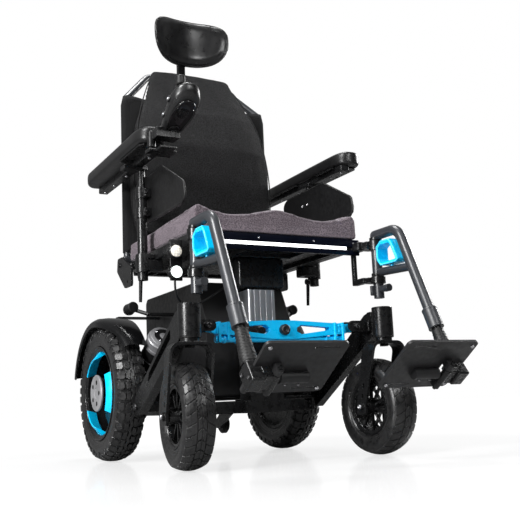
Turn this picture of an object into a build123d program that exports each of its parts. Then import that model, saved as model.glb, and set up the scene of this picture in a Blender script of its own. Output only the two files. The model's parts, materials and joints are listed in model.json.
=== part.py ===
from build123d import *
from math import cos, pi, radians, sin, tan
import os

# Rear-wheel-drive power wheelchair with a seat lift column, a rocking front beam that levels two
# caster arms, swing-away legrests, telescopic armrests, a reclining back and a headrest.
# Millimetres. +Z is up, the chair faces -Y, the sitter's left is +X. Pieces are drawn from the floor
# point straight below the drive axle, and saved from the middle of the chair's footprint.
# Pieces that come in pairs are drawn on the left (+X) and mirrored.

os.makedirs("parts", exist_ok=True)

# ---- driving dimensions ----
FOOTPRINT_Y = 326.06   # from the footprint's middle back to the drive axle
WHEEL_R = 178          # 14 inch drive wheel
WHEEL_W = 76
WHEEL_X = 259          # middle of each drive tyre
RIM_R = 119            # bead seat of the drive tyre
CASTER_R = 115         # 9 inch caster
CASTER_W = 72
CASTER_X = 255         # swivel axis of each caster
CASTER_Y = -528
CASTER_TRAIL = 40
CASTER_RIM_R = 66
SWIVEL = {"l": 2.5, "r": -6.4}   # degrees that each caster is turned from straight ahead
AXLE_R = 6             # caster axle bolt
STEM_R = 12            # caster stem
FIT = 0.05             # radial clearance of a running fit
ARM_PIVOT = (-214, 138)          # (y, z) of the hinge of each caster arm
BEAM_Y = -477          # middle plane of the rocking beam
BEAM_Z = 300
LINK_X = 199           # bolt between a beam end and its caster arm
LINK_Z = 309
LIFT_Y = -358          # middle of the lift column
SEAT_Z = 522           # top of the seat rails
SEAT_FRONT = -478
SEAT_REAR = -20
RAIL_X = 223           # outer face of each seat rail
POST_X = 250           # armrest post
POST_Y = -236
LEG_X = 241            # legrest pivot post
LEG_Y = -541
LEG_TOP = 527          # height of the legrest's upper tube
LEG_BEND_Y = -630      # where the upper tube would meet the down tube
LEG_LEAN = 24          # degrees the down tube leans forward from vertical
TUBE_R = 12.5
PLATE_TILT = 36        # degrees the footplates are turned toes up
PLATE_HEEL = (-742, 154)         # (y, z) of a footplate's lower face at its heel edge
PLATE_L = 146
PLATE_T = 6
PLATE_IN = 70          # inner and outer edges of a footplate
PLATE_OUT = 250
FLIP_X = 204           # flip-up hinge of a footplate
CANE_X = 216           # back canes
CANE_Y = -22
CANE_TOP = 1000        # where the canes turn in to the top hoop
HOOP = (120, 50, 1110)           # corner of the top hoop
RECLINE = (-22, 520)   # (y, z) of the back's hinge
PAD_X = (252, 318)     # inner and outer edges of an arm pad
PAD_Z = (750, 784)
STICK = (-256, -520)   # (x, y) of the joystick
SIDES = (("l", 1), ("r", -1))

LEG_DIR = Vector(0, -sin(radians(LEG_LEAN)), -cos(radians(LEG_LEAN)))
LEG_CORNER = Vector(LEG_X, LEG_BEND_Y, LEG_TOP)


# ---- helpers ----
def block(x, y, z, radius=0):
    """A box from its low and high limits on each axis, with rounded edges if a radius is given."""
    body = Pos((x[0] + x[1]) / 2, (y[0] + y[1]) / 2, (z[0] + z[1]) / 2) * Box(
        abs(x[1] - x[0]), abs(y[1] - y[0]), abs(z[1] - z[0]))
    return fillet(body.edges(), radius) if radius else body


def rod(start, end, radius):
    """A round bar between two points."""
    start, end = Vector(*start), Vector(*end)
    along = end - start
    return Plane(origin=start, z_dir=along) * Cylinder(
        radius, along.length, align=(Align.CENTER, Align.CENTER, Align.MIN))


def cone(start, end, radius_start, radius_end):
    start, end = Vector(*start), Vector(*end)
    along = end - start
    return Plane(origin=start, z_dir=along) * Cone(
        radius_start, radius_end, along.length, align=(Align.CENTER, Align.CENTER, Align.MIN))


def bent_tube(points, radius, bend, wall=0):
    """A tube swept along a polyline whose corners have the given bend radius."""
    path = FilletPolyline(*points, radius=bend)
    profile = Circle(radius) - Circle(radius - wall) if wall else Circle(radius)
    return sweep(Plane(origin=path @ 0, z_dir=path % 0) * profile, path=path)


def side_plate(points, x, radius=0):
    """A plate whose outline is given as (y, z) points, between two x limits."""
    outline = Polyline(*[(0, y, z) for y, z in points], close=True)
    face = make_face(outline)
    if radius:
        face = fillet(face.vertices(), radius)
    body = extrude(face, amount=x[1] - x[0], dir=(1, 0, 0))
    return Pos(x[0], 0, 0) * body


def front_plate(points, y, radius=0):
    """A plate whose outline is given as (x, z) points, between two y limits."""
    face = make_face(Polyline(*[(x, 0, z) for x, z in points], close=True))
    if radius:
        face = fillet(face.vertices(), radius)
    return Pos(0, y[0], 0) * extrude(face, amount=y[1] - y[0], dir=(0, 1, 0))


def turned(points, x, y, z, smooth=0):
    """A ring turned about an X axis through (y, z); points are (x offset, radius)."""
    face = make_face(Polyline(*[(a, 0, r) for a, r in points], close=True))
    if smooth:
        face = fillet(face.vertices(), smooth)
    return Pos(x, y, z) * revolve(face, axis=Axis.X)


def leg_point(distance, x=LEG_X):
    """A point on the legrest's down tube, measured from the corner of its bend."""
    point = LEG_CORNER + LEG_DIR * distance
    return (x, point.Y, point.Z)


def on_plate(x, along, above):
    """A point given on a tilted footplate: distance from the heel edge, and above its lower face."""
    tilt = radians(PLATE_TILT)
    y = PLATE_HEEL[0] - along * cos(tilt) + above * sin(tilt)
    z = PLATE_HEEL[1] + along * sin(tilt) + above * cos(tilt)
    return (x, y, z)


def plate_box(x, along, above, radius=0):
    """A box lined up with a tilted footplate."""
    centre = on_plate((x[0] + x[1]) / 2, (along[0] + along[1]) / 2, (above[0] + above[1]) / 2)
    body = Box(x[1] - x[0], along[1] - along[0], above[1] - above[0])
    if radius:
        body = fillet(body.edges(), radius)
    return Pos(*centre) * Rot(-PLATE_TILT, 0, 0) * body


def save(name, *pieces):
    solids = [Pos(0, FOOTPRINT_Y, 0) * solid for piece in pieces for solid in piece.solids()]
    export_step(Compound(children=solids) if len(solids) > 1 else solids[0], f"parts/{name}.step")


def save_pair(name, builder):
    """Writes a piece drawn on the left and its mirror image on the right."""
    for tag, side in SIDES:
        pieces = builder(tag)
        pieces = pieces if isinstance(pieces, (list, tuple)) else [pieces]
        if side < 0:
            pieces = [mirror(piece, about=Plane.YZ) for piece in pieces]
        save(f"{name}_{tag}", *pieces)


# ---- chassis ----
def chassis_frame():
    frame = block((-140, 140), (-335, -305), (112, 142), 3)
    frame += block((-140, 140), (85, 110), (112, 142), 3)
    for side in (1, -1):
        frame += block((side * 110, side * 140), (-320, 100), (112, 142), 3)
        # cross tube ends that carry the caster arms
        frame += block((side * 110, side * 236), (ARM_PIVOT[0] - 14, ARM_PIVOT[0] + 14), (124, 149.8), 3)
        frame += rod((side * 230, *ARM_PIVOT), (side * 268, *ARM_PIVOT), 9)
        # anti-tip arm
        arm = side_plate([(70, 112), (70, 142), (110, 142), (196, 84), (190, 64), (172, 62)], (134, 142), 4)
        frame += arm if side > 0 else mirror(arm, about=Plane.YZ)
        frame += rod((side * 134, 180, 75), (side * 164, 180, 75), 5)
        # tie-down eye in front
        eye = block((150, 158), (-352, -318), (112, 142), 3) + block((110, 158), (-333, -307), (118, 136), 2)
        eye -= rod((140, -341, 127), (170, -341, 127), 8)
        frame += eye if side > 0 else mirror(eye, about=Plane.YZ)
    # platform under the lift column, and the bracket in front of it that holds the rocking beam
    frame += block((-60, 60), (-396, -310), (112, 142), 3)
    for side in (1, -1):
        frame += block((side * 38, side * 46), (-396, -340), (138, 318), 2)
    frame += block((-46, 46), (-397, -389.5), (138, 318), 2)
    frame += block((-22, 22), (BEAM_Y + 14, -390), (284, 316), 4)
    frame += rod((0, BEAM_Y - 14, BEAM_Z), (0, BEAM_Y + 30, BEAM_Z), 10)
    frame += rod((0, BEAM_Y - 20, BEAM_Z), (0, BEAM_Y - 11.5, BEAM_Z), 12.5)
    return frame


def battery_box():
    return side_plate([(-300, 145), (-300, 330), (-250, 425), (70, 425), (80, 410), (80, 145)],
                      (-106, 106), 8)


def body_shroud():
    """A moulded cover over the batteries: an open shell with a slanted front."""
    outer = side_plate([(-318, 150), (-318, 336), (-268, 442), (86, 442), (98, 430), (98, 150)],
                       (-120, 120), 10)
    inner = side_plate([(-310, 140), (-310, 333), (-262, 434), (84, 434), (90, 424), (90, 140)],
                       (-114, 114), 4)
    return outer - inner


def drive_unit(tag):
    """Gearbox beside the wheel with the motor leaning forward and up from it."""
    gearbox = rod((150, 0, WHEEL_R), (214, 0, WHEEL_R), 52)
    gearbox = fillet(gearbox.edges(), 6)
    gearbox += rod((214, 0, WHEEL_R), (250, 0, WHEEL_R), 12)
    start, end = Vector(176, -10, 186), Vector(170, -152, 306)
    motor = rod(start, end, 38)
    along = (end - start).normalized()
    motor += rod(end, end + along * 10, 34)
    cap_end = end + along * 14
    motor += rod(end, cap_end, 25)
    motor -= rod(end - along * 14, end - along * 11, 40) - rod(end - along * 14, end - along * 11, 36)
    # mounting foot on the frame rail
    foot = block((122, 160), (-30, 30), (142, 172), 3)
    return gearbox + motor + foot


def freewheel_lever(tag):
    """Looped handle on the side of the gearbox that frees the wheel for pushing."""
    ring = Torus(13, 3)
    grip = Pos(214.5, -80, 292) * Rot(0, 90, 0) * ring
    stalk = rod((214.5, -71, 282), (214.5, -62, 262), 3)
    return grip + stalk + rod((209, -60, 258), (219, -60, 258), 7)


def fender(tag):
    """Mudguard: an arched shell with a turned-down outer lip."""
    rear, front = 76, 54        # degrees behind and ahead of straight up
    section = make_face(Polyline((212, 0, 193), (300, 0, 193), (306, 0, 187), (306, 0, 172), (309, 0, 172),
                                 (309, 0, 189), (302, 0, 197), (212, 0, 197), close=True))
    shell = revolve(section, axis=Axis.X, revolution_arc=rear + front)
    shell = Pos(0, 0, WHEEL_R) * Rot(-rear, 0, 0) * shell
    bracket = block((120.2, 240), (-12, 12), (WHEEL_R + 197.5, WHEEL_R + 203), 1)
    return shell, bracket


def rear_lights():
    """A round lamp on a short arm above each mudguard's front edge."""
    pieces = []
    for side in (1, -1):
        arm = rod((side * 121, -150, 372), (side * 205, -150, 372), 5)
        arm += rod((side * 205, -150, 372), (side * 236, -118, 388), 5)
        lamp = rod((side * 240, -134, 393), (side * 240, -96, 390), 14)
        pieces.append(arm + fillet(lamp.edges(), 3))
    return pieces


def anti_tip_wheel(tag):
    wheel = turned([(-11, 6), (-11, 22), (-6, 28), (6, 28), (11, 22), (11, 6)], 155, 180, 75, 1.5)
    return wheel - rod((140, 180, 75), (170, 180, 75), 5 + FIT)


# ---- drive wheels ----
def drive_tyre(tag):
    half = WHEEL_W / 2
    outline = [(-28, RIM_R), (-36, 132), (-half, 150), (-34, 170), (-22, WHEEL_R), (22, WHEEL_R),
               (34, 170), (half, 150), (36, 132), (28, RIM_R)]
    return turned(outline, WHEEL_X, 0, WHEEL_R, 2.5)


def drive_rim(tag):
    """Barrel, three swept spokes and a hub with five slots, on a keyed axle hole."""
    barrel = turned([(-30, RIM_R - 8), (-30, RIM_R - 0.2), (28, RIM_R - 0.2), (33, RIM_R + 2),
                     (35, RIM_R), (31, RIM_R - 9), (26, RIM_R - 8)], WHEEL_X, 0, WHEEL_R)
    hub = turned([(-20, 12 + FIT), (-20, 30), (26, 34), (38, 46), (41, 44), (41, 12 + FIT)],
                 WHEEL_X, 0, WHEEL_R)
    rim = barrel + hub
    spoke = side_plate([(-22, 14), (14, 22), (38, 52), (60, 72), (70, 92), (36, 108), (14, 86), (-14, 60)],
                       (WHEEL_X - 4, WHEEL_X + 12), 6)
    for turn in (60, 180, 300):
        rim += Pos(0, 0, WHEEL_R) * Rot(turn, 0, 0) * spoke
    rim = rim & Pos(WHEEL_X, 0, WHEEL_R) * Rot(0, 90, 0) * Cylinder(RIM_R + 6, 90)
    rim -= rod((200, 0, WHEEL_R), (250.2, 0, WHEEL_R), 12 + FIT)
    for turn in range(0, 360, 72):
        slot = Rot(turn, 0, 0) * Pos(WHEEL_X + 40, 0, 26) * Box(12, 7, 14)
        rim -= Pos(0, 0, WHEEL_R) * fillet(slot.edges().filter_by(Axis.X), 3)
    return rim


def rim_inserts(tag):
    """Three coloured arc covers just inside the rim."""
    band = turned([(12, 84), (12, 108), (27, 108), (27, 84)], WHEEL_X, 0, WHEEL_R)
    pieces = []
    for turn in (0, 120, 240):
        wedge = Pos(0, 0, WHEEL_R) * Rot(turn, 0, 0) * side_plate(
            [(0, 0), (-150, 95), (-150, -95)], (WHEEL_X, WHEEL_X + 40))
        arc = band & wedge
        pieces.append(fillet(arc.edges().filter_by(Axis.X), 3))
    return pieces


# ---- front suspension ----
def rocker_beam():
    """Levelling beam with a deep middle, two tapered windows and a forked end for each link bolt."""
    outline = [(-216, 302), (-216, 316), (-170, 315), (-30, 322), (30, 322), (170, 315), (216, 316),
               (216, 302), (170, 291), (30, 279), (-30, 279), (-170, 291)]
    beam = front_plate(outline, (BEAM_Y - 11, BEAM_Y + 11), 4)
    for side in (1, -1):
        # thin tongue inside the caster arm's clevis
        for y in (BEAM_Y - 8, BEAM_Y + 8):
            beam -= block((side * 172, side * 230), (y - 3.5, y + 3.5), (280, 330))
        window = front_plate([(side * 36, 305), (side * 48, 312), (side * 128, 306), (side * 128, 300),
                              (side * 48, 290), (side * 36, 296)], (BEAM_Y - 20, BEAM_Y + 20), 2)
        beam -= window
        slot = Pos(side * LINK_X, BEAM_Y, LINK_Z) * Rot(90, 0, 0) * extrude(SlotOverall(24, 12), 30, both=True)
        beam -= slot
        # ribs and a lug for the damper rod
        beam += block((side * 140, side * 146), (BEAM_Y - 13, BEAM_Y + 11), (276, 318), 1)
        beam += block((side * 162, side * 168), (BEAM_Y - 13, BEAM_Y + 11), (272, 318), 1)
    beam += rod((-172, BEAM_Y, 279), (172, BEAM_Y, 279), 7)
    beam -= rod((0, BEAM_Y - 20, BEAM_Z), (0, BEAM_Y + 20, BEAM_Z), 10 + FIT)
    return beam


def caster_arm(tag):
    """Trailing arm: hinged at the chassis, with the caster's headstock and the beam's clevis in front."""
    arm = side_plate([(-500, 346), (-470, 338), (-200, 160), (-194, 132), (-222, 118), (-500, 284)],
                     (242, 264), 6)
    window = side_plate([(-440, 306), (-300, 215), (-290, 190), (-440, 284)], (250, 270), 3)
    arm -= window
    head = rod((CASTER_X, CASTER_Y, 280), (CASTER_X, CASTER_Y, 352), 25)
    arm += fillet(head.edges(), 2)
    arm += block((243, 263), (-520, -480), (286, 344), 2)
    for y in (BEAM_Y - 20.5, BEAM_Y + 14.5):
        ear = block((190, 246), (y, y + 6), (LINK_Z - 13, LINK_Z + 13))
        ear += rod((190, y, LINK_Z), (190, y + 6, LINK_Z), 13)
        arm += ear
    arm += rod((LINK_X, BEAM_Y - 21, LINK_Z), (LINK_X, BEAM_Y + 21, LINK_Z), 4.5)
    arm += rod((LINK_X, BEAM_Y - 26, LINK_Z), (LINK_X, BEAM_Y - 20, LINK_Z), 8)
    arm += block((232, 246), (-500, -452), (296, 322), 2)
    arm -= rod((CASTER_X, CASTER_Y, 270), (CASTER_X, CASTER_Y, 347), STEM_R + FIT)
    arm -= rod((225, *ARM_PIVOT), (275, *ARM_PIVOT), 9 + FIT)
    return arm


def swivelled(shape, tag):
    """Turns a caster piece drawn straight ahead about its swivel axis."""
    angle = SWIVEL[tag] if tag == "l" else -SWIVEL[tag]
    return Pos(CASTER_X, CASTER_Y, 0) * Rot(0, 0, angle) * shape


def caster_fork(tag):
    """Arched fork with a leaning leg each side, its stem and the axle bolt."""
    outer = front_plate([(-50, 80), (-50, 270), (50, 270), (50, 80)], (-120, 120))
    outer = fillet(outer.edges().filter_by(Axis.Y).sort_by(Axis.Z)[-2:], 26)
    inner = front_plate([(-44, 70), (-44, 263), (44, 263), (44, 70)], (-120, 120))
    inner = fillet(inner.edges().filter_by(Axis.Y).sort_by(Axis.Z)[-2:], 20)
    profile = side_plate([(-20, 275), (20, 275), (22, 255), (58, 122), (58, 96), (24, 96), (24, 118),
                          (-18, 246)], (-60, 60), 7)
    fork = (outer - inner) & profile
    for height, offset in ((140, 33.5), (164, 27)):
        hole = Rot(0, 90, 0) * extrude(SlotOverall(13, 6), 80, both=True)
        fork -= Pos(0, offset, height) * hole
    fork += rod((0, 0, 268), (0, 0, 344), STEM_R)
    fork += rod((0, 0, 270), (0, 0, 278), 20)
    fork += Pos(0, 0, 257) * extrude(RegularPolygon(11, 6), 8)
    fork += rod((-50, CASTER_TRAIL, CASTER_R), (50, CASTER_TRAIL, CASTER_R), AXLE_R)
    for side in (1, -1):
        fork += rod((side * 49, CASTER_TRAIL, CASTER_R), (side * 55, CASTER_TRAIL, CASTER_R), 9.5)
    return swivelled(fork, tag)


def caster_tyre(tag):
    half = CASTER_W / 2
    outline = [(-24, CASTER_RIM_R), (-33, 78), (-half, 92), (-30, 106), (-16, 113), (0, CASTER_R), (16, 113),
               (30, 106), (half, 92), (33, 78), (24, CASTER_RIM_R)]
    return swivelled(turned(outline, 0, CASTER_TRAIL, CASTER_R, 2), tag)


def caster_rim(tag):
    """Barrel and hub joined by ten thin spokes on each face."""
    rim = turned([(-26, 58), (-26, 65.8), (26, 65.8), (26, 58), (20, 61), (-20, 61)], 0, 0, 0)
    rim += turned([(-40, AXLE_R + FIT), (-40, 14), (-20, 18), (20, 18), (40, 14), (40, AXLE_R + FIT)], 0, 0, 0)
    for turn in range(0, 360, 36):
        for face in (1, -1):
            rim += Rot(turn, 0, 0) * Pos(face * 17, 0, 39) * Box(7, 4.5, 48)
    return swivelled(Pos(0, CASTER_TRAIL, CASTER_R) * rim, tag)


# ---- seat lift ----
def lift_outer():
    """Ribbed aluminium column standing on the frame's platform."""
    column = Pos(0, LIFT_Y, 142) * extrude(RectangleRounded(74, 62, 6), 266)
    column -= Pos(0, LIFT_Y, 150) * extrude(RectangleRounded(58, 46, 3), 300)
    for x in (-24, -8, 8, 24):
        for y in (LIFT_Y - 31, LIFT_Y + 31):
            column -= block((x - 3, x + 3), (y - 2, y + 2), (330, 410))
    return column


def lift_inner():
    column = Pos(0, LIFT_Y, 152) * extrude(RectangleRounded(57.6, 45.6, 3), 262)
    column -= Pos(0, LIFT_Y, 150) * extrude(RectangleRounded(48, 36, 2), 250)
    head = block((-62, 62), (LIFT_Y - 36, LIFT_Y + 36), (413, 486), 5)
    return column + head


# ---- seat ----
def seat_frame():
    """Rails, front bar and pan, with armrest sockets, legrest receivers and the back's hinge plates."""
    frame = block((-RAIL_X, RAIL_X), (SEAT_FRONT - 14, SEAT_FRONT), (486, SEAT_Z), 3)
    frame += block((-200, 200), (SEAT_FRONT - 2, SEAT_REAR - 4), (498, 503))
    frame += block((-200, 200), (SEAT_REAR - 24, SEAT_REAR - 4), (492, SEAT_Z), 2)
    frame += block((-80, 80), (LIFT_Y - 44, LIFT_Y + 60), (486.2, 499), 2)
    for side in (1, -1):
        left = block((RAIL_X - 25, RAIL_X), (SEAT_FRONT - 6, SEAT_REAR - 36), (497, SEAT_Z), 2)
        # hinge plate of the back
        left += side_plate([(-112, 452), (-112, 500), (-40, 540), (-4, 540), (2, 505), (-60, 452)],
                           (232, 238), 8)
        left += block((RAIL_X - 2, 234), (-100, -60), (499, 515), 2)
        left += rod((204, *RECLINE), (242, *RECLINE), 6)
        left -= Pos(0, -84, 466) * Rot(0, 90, 0) * extrude(Circle(4), 300)
        # legrest receiver: two rings around the legrest's post, joined to the rail
        left += block((RAIL_X - 20, RAIL_X + 4), (-520, SEAT_FRONT), (492, 514), 3)
        left += block((RAIL_X - 14, RAIL_X + 2), (-524, -476), (410, 424), 2)
        left += block((RAIL_X - 14, RAIL_X - 4), (-488, -476), (410, 500), 2)
        for low, high in ((490, 513), (408, 424)):
            left += rod((LEG_X, LEG_Y, low), (LEG_X, LEG_Y, high), 18)
            left += block((RAIL_X - 10, LEG_X), (LEG_Y, -512), (low + 2, high - 2))
        left -= rod((LEG_X, LEG_Y, 380), (LEG_X, LEG_Y, 522), TUBE_R + FIT)
        frame += left if side > 0 else mirror(left, about=Plane.YZ)
    return frame


def led_strip():
    """A light bar let into the seat's front bar."""
    return block((-186, 186), (SEAT_FRONT - 17.5, SEAT_FRONT - 14.05), (495, 506), 1.5)


def seat_cushion():
    outline = make_face(Polyline((-228, 0, 524), (-228, 0, 590), (-110, 0, 583), (0, 0, 588),
                                 (110, 0, 583), (228, 0, 590), (228, 0, 524), close=True))
    outline = fillet(outline.vertices(), 9)
    cushion = Pos(0, -498, 0) * extrude(outline, 450, dir=(0, 1, 0))
    return fillet(cushion.edges().filter_by(Axis.Z), 20)


def lamps():
    """Marker lamp over headlamp on a bracket from the right seat rail."""
    x = -246
    pieces = [block((x - 7, -RAIL_X - 0.1), (-424, -418), (418, 514), 2)]
    for height in (483, 435):
        housing = rod((x, -443, height), (x, -424.1, height), 16)
        pieces.append(fillet(housing.edges(), 2))
    return pieces


def arm_post(tag):
    """Socket on the seat rail and the armrest's outer tube, with the side guard's clamps."""
    post = rod((POST_X, POST_Y, 446), (POST_X, POST_Y, 660), TUBE_R)
    for low, high, radius in ((466, 511, 18), (604, 630, 15.5), (652, 682, 15.5)):
        post += rod((POST_X, POST_Y, low), (POST_X, POST_Y, high), radius)
    post += block((RAIL_X + 0.1, POST_X), (POST_Y - 18, POST_Y + 18), (500, 511), 2)
    post += block((RAIL_X - 20, POST_X), (POST_Y - 18, POST_Y + 18), (470, 496.9), 3)
    for height in (607, 655):
        post += block((233.8, 252), (POST_Y - 26, POST_Y + 10), (height, height + 20), 2)
    post -= rod((POST_X, POST_Y, 440), (POST_X, POST_Y, 700), 9.5 + FIT)
    return post


def arm_lever(tag):
    """Clamp lever that hangs under the armrest socket."""
    lever = rod((POST_X + 2, POST_Y + 27, 462), (POST_X - 10, POST_Y + 27, 462), 8)
    lever += cone((POST_X - 4, POST_Y + 27, 462), (POST_X - 4, POST_Y + 33, 396), 5, 4)
    return lever


def side_guard(tag):
    outline = [(-124, 645), (-124, 700), (-150, 712), (-334, 716), (-464, 645), (-472, 612), (-455, 592),
               (-300, 592), (-180, 600)]
    return side_plate(outline, (228.8, 233.4), 20)


def arm_rail(tag):
    """Sliding inner rod with the rail that carries the pad."""
    rail = rod((POST_X, POST_Y, 480), (POST_X, POST_Y, 736), 9.5)
    rail += block((POST_X - 12, 300), (POST_Y - 16, POST_Y + 16), (726, 737), 2)
    rail += block((250, 276), (-400, 40), (733, 749.8), 3)
    return rail


def arm_pad(tag):
    pad = block(PAD_X, (-410, 46), PAD_Z)
    pad = fillet(pad.edges().filter_by(Axis.Z), 26)
    return fillet(pad.faces().sort_by(Axis.Z)[-1].edges(), 8)


# ---- hand control ----
SWING = (-294, -428)   # (x, y) of the vertical pin that the hand control swings on


def controller_mount():
    """Clamp under the right armrest's rail with a perforated plate and the swing pin."""
    mount = block((-290, -236), (-412, -396), (716, 732.8), 3)
    mount += block((-304, -236), (-440, -408), (716, 724), 3)
    mount += block((-288, -248), (-470, -436), (716, 722), 2)
    for x in (-280, -268, -256):
        for y in (-462, -448):
            mount -= rod((x, y, 700), (x, y, 730), 2)
    for y in (-462, -448):
        mount -= rod((-292, y, 710), (-280, y, 710), 1)
    mount += rod((*SWING, 720), (*SWING, 752), 5)
    return mount


def controller_box():
    """Hand control in front of the right armrest, on its swinging hinge knuckle."""
    box = side_plate([(-426, 747), (-426, 771), (-470, 795), (-520, 818.5), (-560, 834), (-580, 826),
                      (-580, 808), (-532, 784)], (-289, -223), 7)
    knuckle = rod((*SWING, 726), (*SWING, 764), 10)
    knuckle += block((-296, -226), (-470, -430), (752, 764.9), 3)
    knuckle += block((-286, -226), (-470, -452), (728, 760), 3)
    knuckle -= rod((*SWING, 700), (*SWING, 753), 5 + FIT)
    boot = cone((*STICK, 810), (*STICK, 831), 18, 11)
    return box + knuckle + boot - rod((*STICK, 819.9), (*STICK, 850), 8.4)


def joystick():
    stick = rod((*STICK, 823), (*STICK, 858), 4.5) + fillet(rod((*STICK, 850), (*STICK, 872), 11).edges(), 4)
    return stick + rod((STICK[0] - 6, STICK[1], 824.5), (STICK[0] + 6, STICK[1], 824.5), 3)


# ---- back ----
def headrest_bracket():
    """Clamp on the middle of the top hoop with a square guide for the stalk."""
    y, z = HOOP[1], HOOP[2]
    clamp = block((-24, 24), (y - 13, y + 40), (z - 16, z + 16), 4)
    clamp -= rod((-40, y, z), (40, y, z), 10)
    clamp -= block((-12 - FIT, 12 + FIT), (y + 18 - FIT, y + 30 + FIT), (z - 30, z + 30))
    return clamp


def back_canes():
    """Two upright tubes joined by a hoop that leans in and back at the top."""
    points = []
    for side in (1, -1):
        run = [(side * CANE_X, CANE_Y, 492), (side * CANE_X, CANE_Y, CANE_TOP), (side * HOOP[0], *HOOP[1:])]
        points += run if side > 0 else run[::-1]
    canes = bent_tube(points, 10, 34, 2)
    canes += rod((-CANE_X + 4, CANE_Y, 640), (CANE_X - 4, CANE_Y, 640), 8)
    for side in (1, -1):
        canes += block((side * (CANE_X - 14), side * (CANE_X + 14)), (CANE_Y - 16, CANE_Y + 16), (500, 545), 4)
        canes -= rod((side * 195, *RECLINE), (side * 240, *RECLINE), 6 + FIT)
    return canes, headrest_bracket()


def back_shell():
    """Stiff panel between the canes that the back pad is fixed to."""
    panel = front_plate([(-204, 565), (-204, 985), (-165, 1000), (165, 1000), (204, 985), (204, 565)],
                        (CANE_Y - 14, CANE_Y - 10.5), 12)
    return panel


def back_pad():
    """Contoured pad: an egg-shaped outline with a crease where the top leans back."""
    front = [(-196, 600), (-214, 690), (-214, 800), (-196, 920), (-168, 1010), (-122, 1116),
             (122, 1116), (168, 1010), (196, 920), (214, 800), (214, 690), (196, 600)]
    body = front_plate(front, (-130, 80), 18)
    side = side_plate([(-80, 596), (-84, 860), (-58, 970), (2, 1112), (8, 1122), (33, 1122), (-36.8, 1004),
                       (-36.8, 596)], (-240, 240), 5)
    return body & side


def headrest_stalk():
    y = HOOP[1] + 24
    stalk = block((-12, 12), (y - 6, y + 6), (1040, 1196), 1) + rod((-14, y, 1200), (14, y, 1200), 9)
    return stalk - rod((-20, y, 1200), (20, y, 1200), 5 + FIT)


def headrest_pad():
    """Wrap-around head pad."""
    ring = Cylinder(214, 128) - Cylinder(169, 140)
    ring = Pos(0, -150, 1230) * ring
    pad = ring & block((-126, 126), (-60, 90), (1100, 1360))
    pad = fillet(pad.edges(), 12)
    ears = [block((side * 15, side * 21), (58, 88), (1188, 1212), 1) for side in (1, -1)]
    pin = rod((-21, HOOP[1] + 24, 1200), (21, HOOP[1] + 24, 1200), 5)
    return pad, ears[0] + ears[1] + pin


# ---- legrests ----
def hanger(tag):
    """Pivot post, bent upper and down tube, lower tube and end sleeve."""
    bend = bent_tube([(LEG_X, LEG_Y, LEG_TOP), tuple(LEG_CORNER), leg_point(266)], TUBE_R, 40)
    bend += Pos(LEG_X, LEG_Y, LEG_TOP) * Sphere(TUBE_R)
    bend += rod((LEG_X, LEG_Y, 372), (LEG_X, LEG_Y, LEG_TOP), TUBE_R)
    bend += rod((LEG_X, LEG_Y, 435), leg_point(107), 10)
    bend += rod(leg_point(226), leg_point(270), 17)
    # release knob and latch plate under the lower ring
    bend += block((LEG_X - 8, LEG_X + 8), (LEG_Y - 30, LEG_Y), (386, 400), 3)
    bend += rod((LEG_X, LEG_Y - 28, 393), (LEG_X, LEG_Y - 42, 393), 9)
    bend += block((LEG_X - 24, LEG_X), (LEG_Y - 4, LEG_Y + 4), (378, 402), 2)
    bend -= rod(leg_point(110), leg_point(290), 10.5 + FIT)
    bend -= rod((LEG_X, -600, 430), (LEG_X, -600, 460), 4 + FIT)
    return bend


def ring_handle(tag):
    """D-shaped loop that is lifted to unlock the legrest so that it swings away."""
    outer = [(-560, 462), (-560, 494), (-578, 506), (-612, 506), (-622, 494), (-642, 452), (-634, 446), (-574, 446)]
    inner = [(-567, 464), (-567, 490), (-580, 499), (-608, 499), (-616, 489), (-633, 455), (-629, 453), (-577, 453)]
    loop = side_plate(outer, (LEG_X - 15, LEG_X + 15), 4) - side_plate(inner, (LEG_X - 20, LEG_X + 20), 2.5)
    for y in (-585, -595, -605):
        loop += rod((LEG_X - 15, y, 498.5), (LEG_X + 15, y, 498.5), 3)
    return loop + rod((LEG_X, -600, 434), (LEG_X, -600, 450), 4)


def extension(tag):
    """Sliding inner tube with its rubber boot and the flip-up hinge's bracket."""
    bar = rod(leg_point(160), leg_point(374), 10.5)
    boot = cone(leg_point(276), leg_point(350), 12, 17)
    boot -= rod(leg_point(270), leg_point(360), 10.4)
    bracket = plate_box((228, 258), (34, 74), (-24, 22), 4)
    bracket += plate_box((FLIP_X, 240), (34, 74), (-19, -7), 2)
    barrel = rod(on_plate(FLIP_X, 34, -13), on_plate(FLIP_X, 74, -13), 9)
    pin = rod(on_plate(FLIP_X, 12, -13), on_plate(FLIP_X, 96, -13), 4)
    return bar + bracket + barrel + pin, boot - bracket


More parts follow.
